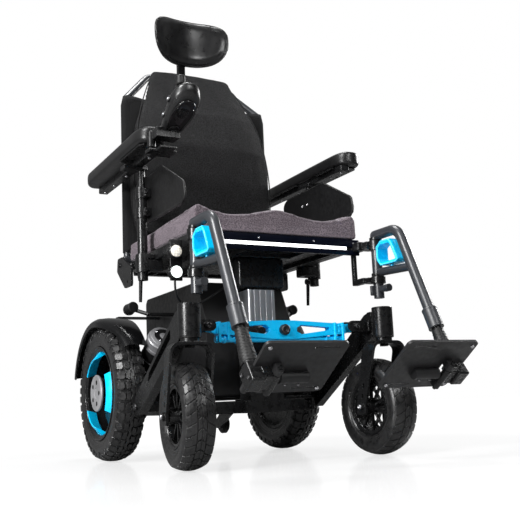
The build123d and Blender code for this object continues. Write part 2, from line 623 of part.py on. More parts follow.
def footplate(tag):
    """Tilted plate with slots, a notch around the bracket, an underside boss and hinge knuckles."""
    plate = Rectangle(PLATE_OUT - PLATE_IN, PLATE_L)
    plate = extrude(fillet(plate.vertices(), 10), PLATE_T)
    for along in (-PLATE_L / 2 + 13, PLATE_L / 2 - 13):
        plate -= Pos(44, along, -5) * extrude(SlotOverall(54, 5), 20)
    plate -= Pos(-66, -PLATE_L / 2 + 4, -5) * extrude(RectangleRounded(22, 12, 3), 20)
    plate = Pos(*on_plate((PLATE_IN + PLATE_OUT) / 2, PLATE_L / 2, 0)) * Rot(-PLATE_TILT, 0, 0) * \
        Rot(0, 0, 180) * plate
    plate -= plate_box((FLIP_X - 10, 262), (28, 80), (-30, 30))
    plate += rod(on_plate(128, 54, -6), on_plate(190, 54, -6), 12) & plate_box((120, 194), (30, 80), (-20, 3))
    for low, high in ((18, 33.5), (74.5, 90)):
        knuckle = rod(on_plate(FLIP_X, low, -13), on_plate(FLIP_X, high, -13), 8)
        knuckle += plate_box((FLIP_X - 8, FLIP_X + 8), (low, high), (-13, 2))
        plate += knuckle
    plate -= rod(on_plate(FLIP_X, 5, -13), on_plate(FLIP_X, 100, -13), 4 + FIT)
    return plate


CABLE = [(-246, -432, 418.5), (-246, -431, 400), (-239, -422, 380), (-219, -408, 367), (-191, -392, 365),
         (-160, -378, 374), (-128, -367, 390), (-96, -359, 410), (-63, -356, 430)]


def lamp_cable():
    """Lamp lead from the headlamp to the lift head, hanging in a shallow bow under the seat."""
    points = [Vector(*point) for point in CABLE]
    radii = []
    for before, here, after in zip(points, points[1:], points[2:]):
        run_in, run_out = here - before, after - here
        half_turn = radians(run_in.get_angle(run_out)) / 2
        radii.append(0.45 * min(run_in.length, run_out.length) / tan(half_turn))
    print("lamp cable radii", [round(radius, 1) for radius in radii])
    path = FilletPolyline(*CABLE, radius=radii)
    lead = sweep(Plane(origin=path @ 0, z_dir=path % 0) * Circle(2.5), path=path)
    print("lamp cable volume", round(lead.volume), "section times length", round(pi * 2.5 ** 2 * path.length),
          "length", round(path.length))
    return lead


save("chassis_frame", chassis_frame())
save("battery_box", battery_box())
save("body_shroud", body_shroud())
save("rear_lights", *rear_lights())
save("rocker_beam", rocker_beam())
save("lift_outer", lift_outer())
save("lift_inner", lift_inner())
save("seat_frame", seat_frame())
save("led_strip", led_strip())
save("seat_cushion", seat_cushion())
save("lamps", *lamps())
save("lamp_cable", lamp_cable())
save("controller_mount", controller_mount())
save("controller_box", controller_box())
save("joystick", joystick())
save("back_canes", *back_canes())
save("back_shell", back_shell())
save("back_pad", back_pad())
save("headrest_stalk", headrest_stalk())
save("headrest_pad", *headrest_pad())
for builder in (drive_unit, freewheel_lever, fender, anti_tip_wheel, drive_tyre, drive_rim, rim_inserts,
                caster_arm, caster_fork, caster_tyre, caster_rim, arm_post, arm_lever, side_guard,
                arm_rail, arm_pad, hanger, ring_handle, extension, footplate):
    save_pair(builder.__name__, builder)
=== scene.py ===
import json
from math import cos, exp, hypot, pi, radians, sin

import bmesh
import bpy
from mathutils import Matrix, Vector, noise


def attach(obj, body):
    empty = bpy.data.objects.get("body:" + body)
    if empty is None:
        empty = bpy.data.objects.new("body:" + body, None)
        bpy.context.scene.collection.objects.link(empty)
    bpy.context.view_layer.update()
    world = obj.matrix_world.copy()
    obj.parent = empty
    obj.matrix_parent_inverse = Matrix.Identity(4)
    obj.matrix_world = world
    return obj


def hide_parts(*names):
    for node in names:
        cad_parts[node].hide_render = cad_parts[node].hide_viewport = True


# A power wheelchair. Metres, +Z up, the chair faces -Y, the sitter's left is +X. Pieces are drawn in millimetres
# from the floor below the drive axle, and dress() moves them into the frame's origin by SHIFT.
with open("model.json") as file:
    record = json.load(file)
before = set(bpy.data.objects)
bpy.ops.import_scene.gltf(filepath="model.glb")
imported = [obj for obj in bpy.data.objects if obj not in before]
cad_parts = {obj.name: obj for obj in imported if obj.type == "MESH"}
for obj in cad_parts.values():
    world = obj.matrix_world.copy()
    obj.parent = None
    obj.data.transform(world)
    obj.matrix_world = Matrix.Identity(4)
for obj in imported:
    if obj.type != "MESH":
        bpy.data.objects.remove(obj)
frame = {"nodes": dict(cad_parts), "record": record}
NODES = frame["nodes"]
SLOTS = {row["node"]: row["material_slot"] for row in frame["record"]["subparts"]}
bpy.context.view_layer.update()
SCENE = bpy.context.scene
SHIFT = Vector((0, 0.32606, 0))
AXLE_X, AXLE_Z = 259, 178           # middle of a drive wheel
CASTER_X, CASTER_Y = 255, -528      # swivel axis of a caster
LEG_X = 241                         # plane of a legrest
POD_X = -256                        # middle of the hand control
SIDES = (("l", 1), ("r", -1))


# ---------------------------------------------------------------- camera and studio
def set_camera():
    turn, pitch, roll = radians(-28.4915), radians(9.8449), radians(-2.509)
    forward = Vector((-sin(turn) * cos(pitch), cos(turn) * cos(pitch), sin(pitch)))
    level = Vector((cos(turn), sin(turn), 0))
    upright = level.cross(forward)
    right = cos(roll) * level + sin(roll) * upright
    up = -sin(roll) * level + cos(roll) * upright
    data = bpy.data.cameras.new("camera")
    data.lens, data.sensor_width = 56.25, 36
    data.clip_start, data.clip_end = 0.05, 100
    camera = bpy.data.objects.new("camera", data)
    SCENE.collection.objects.link(camera)
    camera.matrix_world = Matrix.Translation(SHIFT + Vector((-0.94399, -2.12621, 0.13898))) @ Matrix(
        (right, up, -forward)).transposed().to_4x4()
    SCENE.camera = camera


def area_light(name, place, target, size, power, tint=(1, 1, 1)):
    data = bpy.data.lights.new(name, "AREA")
    data.shape, data.size, data.energy, data.color = "SQUARE", size, power, tint
    lamp = bpy.data.objects.new(name, data)
    SCENE.collection.objects.link(lamp)
    lamp.location = SHIFT + Vector(place)
    lamp.rotation_euler = (Vector(target) - Vector(place)).to_track_quat("-Z", "Y").to_euler()
    return lamp


def node_tree(material):
    material.use_nodes = True
    tree = material.node_tree
    tree.nodes.clear()
    return tree


def add(tree, kind, inputs=None, **settings):
    """Adds a shader node; inputs maps a socket to a number, colour or another node's output."""
    node = tree.nodes.new(kind)
    for key, value in settings.items():
        setattr(node, key, value)
    for key, value in (inputs or {}).items():
        socket = node.inputs[key]
        if isinstance(value, bpy.types.NodeSocket):
            tree.links.new(value, socket)
        else:
            socket.default_value = value
    return node


def studio():
    world = bpy.data.worlds.new("studio")
    SCENE.world = world
    tree = node_tree(world)
    # white wall behind the chair and above it, a darker room in front of it
    direction = add(tree, "ShaderNodeTexCoord").outputs["Generated"]
    parts = add(tree, "ShaderNodeSeparateXYZ", {0: direction})
    behind = add(tree, "ShaderNodeMapRange", {0: parts.outputs["Y"], 1: -0.6, 2: 0.8, 3: 0.03, 4: 0.22})
    above = add(tree, "ShaderNodeMapRange", {0: parts.outputs["Z"], 1: 0.1, 2: 0.9, 3: 0.0, 4: 0.08})
    level = add(tree, "ShaderNodeMath", {0: behind.outputs[0], 1: above.outputs[0]}, operation="ADD")
    lit = add(tree, "ShaderNodeBackground", {"Color": (1, 1, 1, 1), "Strength": level.outputs[0]})
    seen = add(tree, "ShaderNodeBackground", {"Color": (1, 1, 1, 1), "Strength": 1.0})
    ray = add(tree, "ShaderNodeLightPath")
    mix = add(tree, "ShaderNodeMixShader", {0: ray.outputs["Is Camera Ray"], 1: lit.outputs[0], 2: seen.outputs[0]})
    add(tree, "ShaderNodeOutputWorld", {"Surface": mix.outputs[0]})

    area_light("key", (-2.2, -1.3, 2.6), (0, -0.2, 0.5), 0.9, 105)
    area_light("front", (0.3, -3.2, 2.0), (0, -0.3, 0.5), 0.8, 40)
    area_light("low", (-2.6, -1.3, 0.9), (0, -0.3, 0.3), 0.45, 74)
    area_light("side", (2.6, 0.1, 1.6), (0, -0.2, 0.5), 0.8, 62)
    area_light("top", (0.1, 0.2, 3.2), (0, -0.1, 0.4), 0.8, 48)

    bpy.ops.mesh.primitive_circle_add(vertices=96, radius=14, fill_type="NGON", location=(0, 0, 0))
    floor = bpy.context.object
    floor.name = "floor"
    paper = bpy.data.materials.new("floor_paper")
    tree = node_tree(paper)
    ray = add(tree, "ShaderNodeLightPath")
    where = add(tree, "ShaderNodeTexCoord").outputs["Object"]
    away = add(tree, "ShaderNodeVectorMath", {0: where}, operation="LENGTH").outputs["Value"]
    # painted shade: the camera-only glow of the floor is weaker near the chair, 0.68 within 0.9 m rising to 0.98 at 3.2
    # m, so the floor round the chair is painted darker
    glow = add(tree, "ShaderNodeMapRange", {0: away, 1: 0.9, 2: 3.2, 3: 0.68, 4: 0.98}).outputs[0]
    fill = add(tree, "ShaderNodeMath", {0: ray.outputs["Is Camera Ray"], 1: glow}, operation="MULTIPLY")
    shader = add(tree, "ShaderNodeBsdfPrincipled",
                 {"Base Color": (0.26, 0.26, 0.262, 1), "Roughness": 0.12, "Specular IOR Level": 0.2,
                  "Emission Color": (1, 1, 1, 1), "Emission Strength": fill.outputs[0]})
    add(tree, "ShaderNodeOutputMaterial", {"Surface": shader.outputs[0]})
    floor.data.materials.append(paper)
    SCENE.view_settings.view_transform = "Standard"


# ---------------------------------------------------------------- materials
def surface_noise(tree, where, size, detail=3.0, rough=0.5):
    """Noise with features of the given size in metres."""
    return add(tree, "ShaderNodeTexNoise", {"Vector": where, "Scale": 1 / size, "Detail": detail, "Roughness": rough})


def ranged(tree, value, low, high, start=0.3, end=0.7):
    return add(tree, "ShaderNodeMapRange", {0: value, 1: start, 2: end, 3: low, 4: high}).outputs[0]


def blend_colour(tree, factor, first, second, mode="MIX"):
    return add(tree, "ShaderNodeMix", {0: factor, 6: first, 7: second}, data_type="RGBA", blend_type=mode).outputs[2]


def shade(colour, gain):
    return (*[min(1.0, channel * gain) for channel in colour], 1)


def moulded(name, colour, rough, metallic=0.0, grain=0.0006, relief=0.00004, spread=0.12, edge=2.2, edge_size=0.0009,
            vary=0.16, dust=0.0, **constants):
    """Paint, plastic, rubber or metal: cloudy tone, fine grain, uneven gloss and lighter worn edges."""
    material = bpy.data.materials.new(name)
    tree = node_tree(material)
    where = add(tree, "ShaderNodeTexCoord").outputs["Object"]
    cloud = surface_noise(tree, where, 0.07)
    fine = surface_noise(tree, where, grain, 2.0)
    tone = blend_colour(tree, ranged(tree, cloud.outputs[0], 0, 1), shade(colour, 1 - vary), shade(colour, 1 + vary))
    scuff = surface_noise(tree, where, 0.012, 6.0, 0.62)
    if dust:
        haze = ranged(tree, scuff.outputs[0], 0, dust, 0.45, 0.75)
        tone = blend_colour(tree, haze, tone, (0.16, 0.155, 0.15, 1))
    round_edge = add(tree, "ShaderNodeBevel", {"Radius": edge_size}, samples=4)
    face = add(tree, "ShaderNodeNewGeometry")
    agree = add(tree, "ShaderNodeVectorMath", {0: round_edge.outputs[0], 1: face.outputs["Normal"]},
                operation="DOT_PRODUCT")
    worn = ranged(tree, agree.outputs["Value"], 0.55, 0.0, 0.72, 0.995)
    tone = blend_colour(tree, worn, tone, shade(colour, edge))
    gloss = ranged(tree, scuff.outputs[0], max(0.03, rough - spread), min(1.0, rough + spread))
    bump = add(tree, "ShaderNodeBump", {"Strength": 0.55, "Distance": relief, "Height": fine.outputs[0],
                                        "Normal": round_edge.outputs[0]})
    shader = add(tree, "ShaderNodeBsdfPrincipled", {"Base Color": tone, "Roughness": gloss, "Metallic": metallic,
                                                    "Normal": bump.outputs[0], **constants})
    add(tree, "ShaderNodeOutputMaterial", {"Surface": shader.outputs[0]})
    return material


def cloth(name, dark, light, thread=0.0011, speckle=0.0021, rough=0.86, sheen=0.25, relief=0.00025, contrast=0.1):
    """Woven textile: speckled yarn colours, crossing threads and a soft nap."""
    material = bpy.data.materials.new(name)
    tree = node_tree(material)
    where = add(tree, "ShaderNodeTexCoord").outputs["Object"]
    cloud = surface_noise(tree, where, 0.09)
    yarn = surface_noise(tree, where, speckle, 3.0, 0.75)
    tone = blend_colour(tree, ranged(tree, yarn.outputs[0], 0, 1, 0.5 - contrast, 0.5 + contrast),
                        shade(dark, 1), shade(light, 1))
    tone = blend_colour(tree, ranged(tree, cloud.outputs[0], 0, 0.35), tone, shade(dark, 0.8))
    axes = add(tree, "ShaderNodeSeparateXYZ", {0: where})
    depth = add(tree, "ShaderNodeMath", {0: axes.outputs["Y"], 1: axes.outputs["Z"]}, operation="ADD").outputs[0]
    waves = []
    for value in (axes.outputs["X"], depth):
        phase = add(tree, "ShaderNodeMath", {0: value, 1: 2 * pi / thread}, operation="MULTIPLY").outputs[0]
        waves.append(add(tree, "ShaderNodeMath", {0: phase}, operation="SINE").outputs[0])
    weave = add(tree, "ShaderNodeMath", {0: waves[0], 1: waves[1]}, operation="MULTIPLY").outputs[0]
    height = add(tree, "ShaderNodeMath", {0: weave, 1: yarn.outputs[0]}, operation="ADD").outputs[0]
    bump = add(tree, "ShaderNodeBump", {"Strength": 0.6, "Distance": relief, "Height": height})
    gloss = ranged(tree, yarn.outputs[0], rough - 0.08, min(1.0, rough + 0.08))
    shader = add(tree, "ShaderNodeBsdfPrincipled",
                 {"Base Color": tone, "Roughness": gloss, "Normal": bump.outputs[0], "Specular IOR Level": 0.18,
                  "Sheen Weight": sheen, "Sheen Roughness": 0.45, "Sheen Tint": (0.8, 0.8, 0.84, 1)})
    add(tree, "ShaderNodeOutputMaterial", {"Surface": shader.outputs[0]})
    return material


def skin(name, colour, rough, cell=0.0022, relief=0.00018, specular=0.5):
    """Leatherette or integral-skin foam: pebbled cells with fine creases."""
    material = bpy.data.materials.new(name)
    tree = node_tree(material)
    where = add(tree, "ShaderNodeTexCoord").outputs["Object"]
    pebbles = add(tree, "ShaderNodeTexVoronoi", {"Vector": where, "Scale": 1 / cell}, feature="DISTANCE_TO_EDGE")
    crease = surface_noise(tree, where, 0.02, 5.0, 0.6)
    tone = blend_colour(tree, ranged(tree, crease.outputs[0], 0, 1), shade(colour, 0.85), shade(colour, 1.3))
    cell_height = ranged(tree, pebbles.outputs["Distance"], 0, 1, 0.0, 0.25)
    height = add(tree, "ShaderNodeMath", {0: cell_height, 1: crease.outputs[0]}, operation="ADD").outputs[0]
    bump = add(tree, "ShaderNodeBump", {"Strength": 0.4, "Distance": relief, "Height": height})
    gloss = ranged(tree, crease.outputs[0], rough - 0.05, rough + 0.08)
    shader = add(tree, "ShaderNodeBsdfPrincipled", {"Base Color": tone, "Roughness": gloss,
                                                    "Normal": bump.outputs[0], "Specular IOR Level": specular})
    add(tree, "ShaderNodeOutputMaterial", {"Surface": shader.outputs[0]})
    return material


def glowing(name, colour, strength, dots=0.0):
    """A lit diffuser, slightly uneven, or with a grid of bright diodes when dots is their pitch."""
    material = bpy.data.materials.new(name)
    tree = node_tree(material)
    where = add(tree, "ShaderNodeTexCoord").outputs["Object"]
    if dots:
        cells = add(tree, "ShaderNodeTexVoronoi", {"Vector": where, "Scale": 1 / dots, "Randomness": 0.35})
        light = ranged(tree, cells.outputs["Distance"], strength, strength * 0.25, 0.16, 0.5)
        warm = ranged(tree, cells.outputs["Distance"], 0, 1, 0.18, 0.42)
        tone = blend_colour(tree, warm, (1, 0.94, 0.75, 1), shade(colour, 1))
    else:
        uneven = surface_noise(tree, where, 0.02)
        light = ranged(tree, uneven.outputs[0], strength * 0.9, strength * 1.1)
        tone = blend_colour(tree, uneven.outputs[0], shade(colour, 1), (1, 1, 1, 1))
    shader = add(tree, "ShaderNodeBsdfPrincipled", {"Base Color": shade(colour, 0.9), "Roughness": 0.2,
                                                    "Emission Color": tone, "Emission Strength": light})
    add(tree, "ShaderNodeOutputMaterial", {"Surface": shader.outputs[0]})
    return material


set_camera()
studio()

M = {
    "paint": moulded("black_satin_paint", (0.0065, 0.0066, 0.007), 0.30, relief=0.00002, edge=3.4,
                     **{"Specular IOR Level": 0.42}),
    "tube": moulded("grey_tube_paint", (0.026, 0.028, 0.032), 0.34, relief=0.000008, edge=1.5, vary=0.05, spread=0.03,
                    **{"Specular IOR Level": 0.6}),
    "plastic": moulded("black_textured_plastic", (0.0055, 0.0055, 0.0058), 0.42, relief=0.00006, edge=3.4,
                       **{"Specular IOR Level": 0.3}),
    "gloss": moulded("black_gloss_plastic", (0.004, 0.0041, 0.0045), 0.2, relief=0.00001, edge=3.0, spread=0.04,
                     **{"Specular IOR Level": 0.42}),
    "navy": moulded("navy_gloss_paint", (0.002, 0.003, 0.008), 0.22, relief=0.00001, edge=2.0, spread=0.04,
                    **{"Specular IOR Level": 0.2}),
    "plate": moulded("moulded_footplate", (0.014, 0.014, 0.0147), 0.46, relief=0.00010, grain=0.0009, edge=2.4,
                     **{"Specular IOR Level": 0.4}),
    "blue": moulded("blue_satin_paint", (0.0, 0.50, 0.93), 0.34, relief=0.00002, edge=1.3, vary=0.05),
    "blue_plastic": moulded("blue_plastic", (0.0, 0.56, 0.97), 0.28, relief=0.00002, edge=1.25, vary=0.04),
    # painted highlight: a paler blue standing in for the lit edges of the rim covers and of the release loops
    "blue_painted_highlight": moulded("blue_highlight_plastic", (0.10, 0.66, 0.96), 0.3, relief=0.00002, edge=1.2, vary=0.05),
    "rubber": moulded("black_rubber", (0.006, 0.006, 0.0062), 0.5, relief=0.0001, edge=2.2, dust=0.06,
                      **{"Specular IOR Level": 0.35}),
    "tyre": moulded("tyre_rubber", (0.0095, 0.0095, 0.0099), 0.33, grain=0.0012, relief=0.00012, edge=2.6, dust=0.08,
                    edge_size=0.0012, **{"Specular IOR Level": 0.6}),
    "rim": moulded("black_rim_paint", (0.006, 0.006, 0.0064), 0.24, relief=0.00002, edge=3.6),
    "hub": moulded("grey_hub_plate", (0.34, 0.34, 0.35), 0.4, 0.4, relief=0.00003, edge=1.5),
    "motor": moulded("cast_motor_grey", (0.27, 0.27, 0.28), 0.42, 0.55, grain=0.0015, relief=0.00012, edge=1.5),
    "silver": moulded("brushed_aluminium", (0.42, 0.43, 0.45), 0.30, 0.8, relief=0.000004, edge=1.1, vary=0.02,
                      spread=0.015),
    "steel": moulded("zinc_screw_steel", (0.55, 0.55, 0.57), 0.3, 1.0, relief=0.00001, edge=1.2),
    "dark_steel": moulded("black_oxide_screw", (0.04, 0.04, 0.042), 0.32, 0.7, relief=0.00001, edge=2.5),
    "cushion": cloth("heather_cushion_cloth", (0.048, 0.037, 0.045), (0.200, 0.165, 0.186), contrast=0.10,
                     speckle=0.0028),
    "back": cloth("black_back_cloth", (0.002, 0.002, 0.0022), (0.022, 0.022, 0.0228), sheen=0.02, contrast=0.09,
                  speckle=0.003),
    "wing": cloth("black_wing_cloth", (0.004, 0.004, 0.0043), (0.012, 0.012, 0.0126), sheen=0.03, speckle=0.0016),
    "leather": skin("black_leatherette", (0.0055, 0.0055, 0.0058), 0.30, relief=0.00002, specular=0.45),
    "arm_skin": skin("arm_pad_skin", (0.008, 0.008, 0.0083), 0.33, cell=0.0014, relief=0.00006, specular=0.4),
    "satin_skin": moulded("soft_touch_plastic", (0.010, 0.010, 0.0104), 0.32, relief=0.00003, edge=2.2),
    "thread": moulded("black_sewing_thread", (0.012, 0.012, 0.0125), 0.6, grain=0.0005, relief=0.0001, edge=1.5,
                      **{"Specular IOR Level": 0.2}),
    "led": glowing("led_line", (0.93, 0.96, 1.0), 2.6),
    "headlamp": glowing("headlamp_lens", (0.86, 1.0, 0.94), 1.7),
    "marker": glowing("marker_lens", (0.80, 0.77, 0.70), 0.70, dots=0.0062),
    "red_lens": moulded("red_lens", (0.25, 0.01, 0.008), 0.12, relief=0.00001, edge=1.5, **{"Coat Weight": 0.6}),
}
SLOT_LOOK = {"black_frame": "paint", "grey_metal": "plastic", "blue": "blue", "blue_plastic": "blue_plastic",
             "alu": "silver", "plastic": "plastic", "tyre": "tyre", "rim": "rim", "cushion": "cushion",
             "back_fabric": "wing", "skin": "leather", "armpad": "arm_skin", "led": "led", "lamp": "plastic",
             "rubber": "rubber", "plate": "plate"}
NODE_LOOK = {"hanger": "tube", "back_canes": "tube", "extension": "paint", "fender": "gloss", "joystick": "rubber",
             "controller_box": "gloss", "anti_tip_wheel": "rubber", "caster_arm": "paint", "arm_rail": "paint",
             "headrest_stalk": "plastic", "lamp_cable": "rubber", "battery_box": "plastic"}
for node, obj in NODES.items():
    stem = node[:-2] if node[-2:] in ("_l", "_r") else node
    obj.data.materials.clear()
    obj.data.materials.append(M[NODE_LOOK.get(stem, SLOT_LOOK[SLOTS[node]])])


# ---------------------------------------------------------------- making pieces
def piece(name, shape, look, body, smooth=True, place=None, sharp=None, rounded=None):
    """Object of a (verts, faces) shape; sharp is a crease angle in degrees, rounded a bevel width in metres."""
    mesh = bpy.data.meshes.new(name)
    mesh.from_pydata([tuple(v) for v in shape[0]], [], shape[1])
    mesh.update()
    if place is not None:
        mesh.transform(place)
    obj = bpy.data.objects.new(name, mesh)
    SCENE.collection.objects.link(obj)
    dress(obj, look, body, smooth)
    if sharp:
        smooth_by_angle(obj, sharp)
    if rounded:
        bevel(obj, rounded)
    return obj


def dress(obj, look, body, smooth=True):
    obj.data.materials.clear()
    obj.data.materials.append(M[look])
    if obj.type == "MESH":
        clean = bmesh.new()
        clean.from_mesh(obj.data)
        bmesh.ops.recalc_face_normals(clean, faces=clean.faces)
        clean.to_mesh(obj.data)
        clean.free()
        for polygon in obj.data.polygons:
            polygon.use_smooth = smooth
    obj.location = SHIFT
    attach(obj, body)
    return obj


def turns(count, start=0.0):
    """Equally spaced angles round a circle, the first one start steps on from zero."""
    return [2 * pi * (k + start) / count for k in range(count)]


def lathe(profile, segments=72, start=0.0, turn=2 * pi):
    """Vertices and faces of a closed (x, r) profile turned about the X axis."""
    whole = abs(turn - 2 * pi) < 1e-6
    rows = segments if whole else segments + 1
    verts, faces, count = [], [], len(profile)
    for i in range(rows):
        angle = start + turn * i / segments
        verts += [(x, r * cos(angle), r * sin(angle)) for x, r in profile]
    for i in range(segments):
        j = (i + 1) % rows
        for k in range(count):
            m = (k + 1) % count
            faces.append((i * count + k, i * count + m, j * count + m, j * count + k))
    if not whole:
        faces += [tuple(range(count)), tuple(reversed(range((rows - 1) * count, rows * count)))]
    return verts, faces


def loft(rings, cap=True):
    """Skins closed rings of equal length."""
    verts, faces, count = [v for ring in rings for v in ring], [], len(rings[0])
    for i in range(len(rings) - 1):
        for k in range(count):
            m = (k + 1) % count
            faces.append((i * count + k, i * count + m, (i + 1) * count + m, (i + 1) * count + k))
    if cap:
        faces += [tuple(reversed(range(count))), tuple(range(len(verts) - count, len(verts)))]
    return verts, faces


def slab(outline, xs, side=1):
    """A (y, z) outline in millimetres carried along x."""
    return loft([[mm(x * side, y, z) for y, z in outline] for x in xs])


def soft_section(sides, half, high, power, top, low, pinch=0.0):
    """(x, z) points of a rounded box section; the powers set how square its flanks, top and bottom are."""
    points = []
    for a in turns(sides):
        c, s = cos(a), sin(a)
        x = half * abs(c) ** power * (1 if c > 0 else -1)
        z = high * abs(s) ** (top if s > 0 else low) * (1 if s > 0 else -1)
        points.append((x * (1 - pinch * abs(s) ** 2) if s < 0 else x, z))
    return points


def soft_line(name, path, radius, fineness, steps, **ends):
    """A round cord or piping through the control points of path."""
    curve = bpy.data.curves.new(name, "CURVE")
    curve.dimensions, curve.bevel_depth, curve.bevel_resolution, curve.resolution_u = "3D", radius, fineness, steps
    spline = curve.splines.new("NURBS")
    spline.points.add(len(path) - 1)
    for point, place in zip(spline.points, path):
        point.co = (*place, 1)
    spline.order_u = 3
    for key, value in ends.items():
        setattr(spline, key, value)
    obj = bpy.data.objects.new(name, curve)
    SCENE.collection.objects.link(obj)
    return obj


def merge(parts):
    verts, faces = [], []
    for more_verts, more_faces in parts:
        base = len(verts)
        verts += list(more_verts)
        faces += [tuple(base + i for i in face) for face in more_faces]
    return verts, faces


def flipped(shape, side):
    return [(x * side, y, z) for x, y, z in shape[0]], shape[1]


def moved(shape, place):
    return [place @ Vector(v) for v in shape[0]], shape[1]


def tube_along(points, radius, sides=10, closed=False):
    """A round tube through points, as mesh."""
    points = [Vector(p) for p in points]
    rings, up, count = [], None, len(points)
    for i, here in enumerate(points):
        after = points[(i + 1) % count] if closed or i < count - 1 else here
        before = points[i - 1] if closed or i else here
        along = (after - before).normalized()
        side = along.orthogonal() if up is None else (up - along * up.dot(along))
        side.normalize()
        up = side
        other = along.cross(side)
        rings.append([here + radius * (cos(a) * side + sin(a) * other)
                      for a in turns(sides)])
    if closed:
        rings.append(rings[0])
    return loft(rings, cap=not closed)


def aim(place, direction):
    """Matrix that puts local +X along direction at place."""
    return Matrix.Translation(Vector(place)) @ Vector(direction).to_track_quat("X", "Z").to_matrix().to_4x4()


def screw(place, direction, radius=0.0045, height=0.003):
    """A domed socket-head screw, its head rising along direction."""
    profile = [(-0.0006, 0.0), (-0.0006, radius), (height * 0.6, radius), (height, radius * 0.78),
               (height, radius * 0.45), (height * 0.35, radius * 0.42), (height * 0.35, 0.0)]
    verts, faces, count, sides = [], [], len(profile), 24
    for i in range(sides):
        a = 2 * pi * i / sides
        verts += [(x, r * cos(a), r * sin(a)) for x, r in profile]
    for i in range(sides):
        j = (i + 1) % sides
        faces += [(i * count + k, i * count + k + 1, j * count + k + 1, j * count + k) for k in range(count - 1)]
    return moved((verts, faces), aim(place, direction))


def screws(name, body, look, rows):
    obj = piece(name, merge([screw(*row) for row in rows]), look, body)
    weld(obj)
    return obj


def smooth_step(low, high, value):
    t = min(1.0, max(0.0, (value - low) / (high - low)))
    return t * t * (3 - 2 * t)


def weld(obj, gap=1e-5):
    clean = bmesh.new()
    clean.from_mesh(obj.data)
    bmesh.ops.remove_doubles(clean, verts=clean.verts, dist=gap)
    bmesh.ops.recalc_face_normals(clean, faces=clean.faces)
    clean.to_mesh(obj.data)
    clean.free()


def bevel(obj, width, segments=2, angle=35):
    mod = obj.modifiers.new("bevel", "BEVEL")
    mod.width, mod.segments, mod.limit_method, mod.angle_limit = width, segments, "ANGLE", radians(angle)
    mod.harden_normals = False
    return obj


def mm(*values):
    return tuple(value / 1000 for value in values)


def box(xs, ys, zs, side=1):
    verts = [mm(x * side, y, z) for x in xs for y in ys for z in zs]
    return verts, [(0, 1, 3, 2), (4, 6, 7, 5), (0, 4, 5, 1), (2, 3, 7, 6), (0, 2, 6, 4), (1, 5, 7, 3)]


# ---------------------------------------------------------------- tyres
def tread_block(outline, outer, inner, shrink=0.85):
    """A rubber block on a wheel turning about X: outline is (angle, x) pairs, outer and inner radii by x."""
    middle = (sum(a for a, _ in outline) / len(outline), sum(x for _, x in outline) / len(outline))
    top, bottom = [], []
    for a, x in outline:
        ta, tx = middle[0] + (a - middle[0]) * shrink, middle[1] + (x - middle[1]) * shrink
        r = outer(tx)
        top.append((tx, r * cos(ta), r * sin(ta)))
        r = inner(x)
        bottom.append((x, r * cos(a), r * sin(a)))
    return loft([bottom, top])


def drive_tyre(tag, side):
    carcass = [mm(*p) for p in (
        (-28, 119.2), (-33, 123), (-35, 126.5), (-34.6, 129), (-36.6, 133), (-36.2, 136), (-38, 142), (-38.3, 149),
        (-37, 156), (-35, 162), (-31, 167.5), (-22, 171), (-10, 172.6), (0, 173), (10, 172.6), (22, 171),
        (31, 167.5), (35, 162), (37, 156), (38.3, 149), (38, 142), (36.2, 136), (36.6, 133), (34.6, 129),
        (35, 126.5), (33, 123), (28, 119.2))]
    parts = [lathe(carcass, 120)]

    def crown(x):
        x = abs(x) * 1000
        return (178 - 0.006 * x * x if x < 26 else 173.9 - (x - 26) * 0.62) / 1000

    def base(x):
        x = abs(x) * 1000
        return (171.5 - 0.004 * x * x if x < 30 else 166 - (x - 30) * 0.9) / 1000

    count = 42
    pitch = 2 * pi / count
    for i in range(count):
        a = i * pitch
        for s, shift in ((1, 0.0), (-1, 0.5)):
            b = a + shift * pitch
            wide = i % 2
            inner_x = 0.0185 if wide else 0.0215
            outline = [(b - 0.40 * pitch, s * inner_x), (b - 0.44 * pitch, s * 0.0375), (b + 0.30 * pitch, s * 0.0375),
                       (b + 0.44 * pitch, s * (inner_x + 0.004)), (b + 0.18 * pitch, s * (inner_x - 0.001))]
            parts.append(tread_block(outline, crown, base))
            # short side lugs that reach down the shoulder
            low = 0.150 if wide else 0.157
            lug = [(s * 0.0372, 0.1675), (s * 0.0388, 0.160), (s * 0.0395, low + 0.002), (s * 0.0375, low),
                   (s * 0.0355, 0.160)]
            start = b - 0.36 * pitch
            parts.append(lathe(lug, 2, start, 0.62 * pitch))
            outline = [(b - 0.46 * pitch, s * 0.0062), (b - 0.30 * pitch, s * 0.0165), (b + 0.30 * pitch, s * 0.0175),
                       (b + 0.46 * pitch, s * 0.0085), (b + 0.1 * pitch, s * 0.0050)]
            parts.append(tread_block(outline, crown, base, 0.9))
    # wavy centre rib, one continuous zigzag
    wave, rings = count * 4, []
    for i in range(wave):
        a = 2 * pi * i / wave
        off = 0.0022 * sin(a * count)
        ring = []
        for x, r in ((-0.0048, 0.1725), (-0.0036, 0.1776), (0.0036, 0.1776), (0.0048, 0.1725)):
            ring.append((x + off, r * cos(a), r * sin(a)))
        rings.append(ring)
    parts.append(loft(rings + [rings[0]], cap=False))
    tyre = piece(f"tyre_tread_{tag}", merge(parts), "tyre", f"drive_wheel_{tag}", place=wheel_place(side))
    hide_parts(f"drive_tyre_{tag}")
    smooth_by_angle(tyre, 32)


def wheel_place(side):
    return Matrix.Translation(mm(AXLE_X * side, 0, AXLE_Z))


def smooth_by_angle(obj, angle):
    obj.data.set_sharp_from_angle(angle=radians(angle))


def caster_place(side, swivel):
    turn = Matrix.Rotation(radians(swivel), 4, "Z")
    return Matrix.Translation(mm(CASTER_X * side, CASTER_Y, 0)) @ turn @ Matrix.Translation(mm(0, 40, 115))


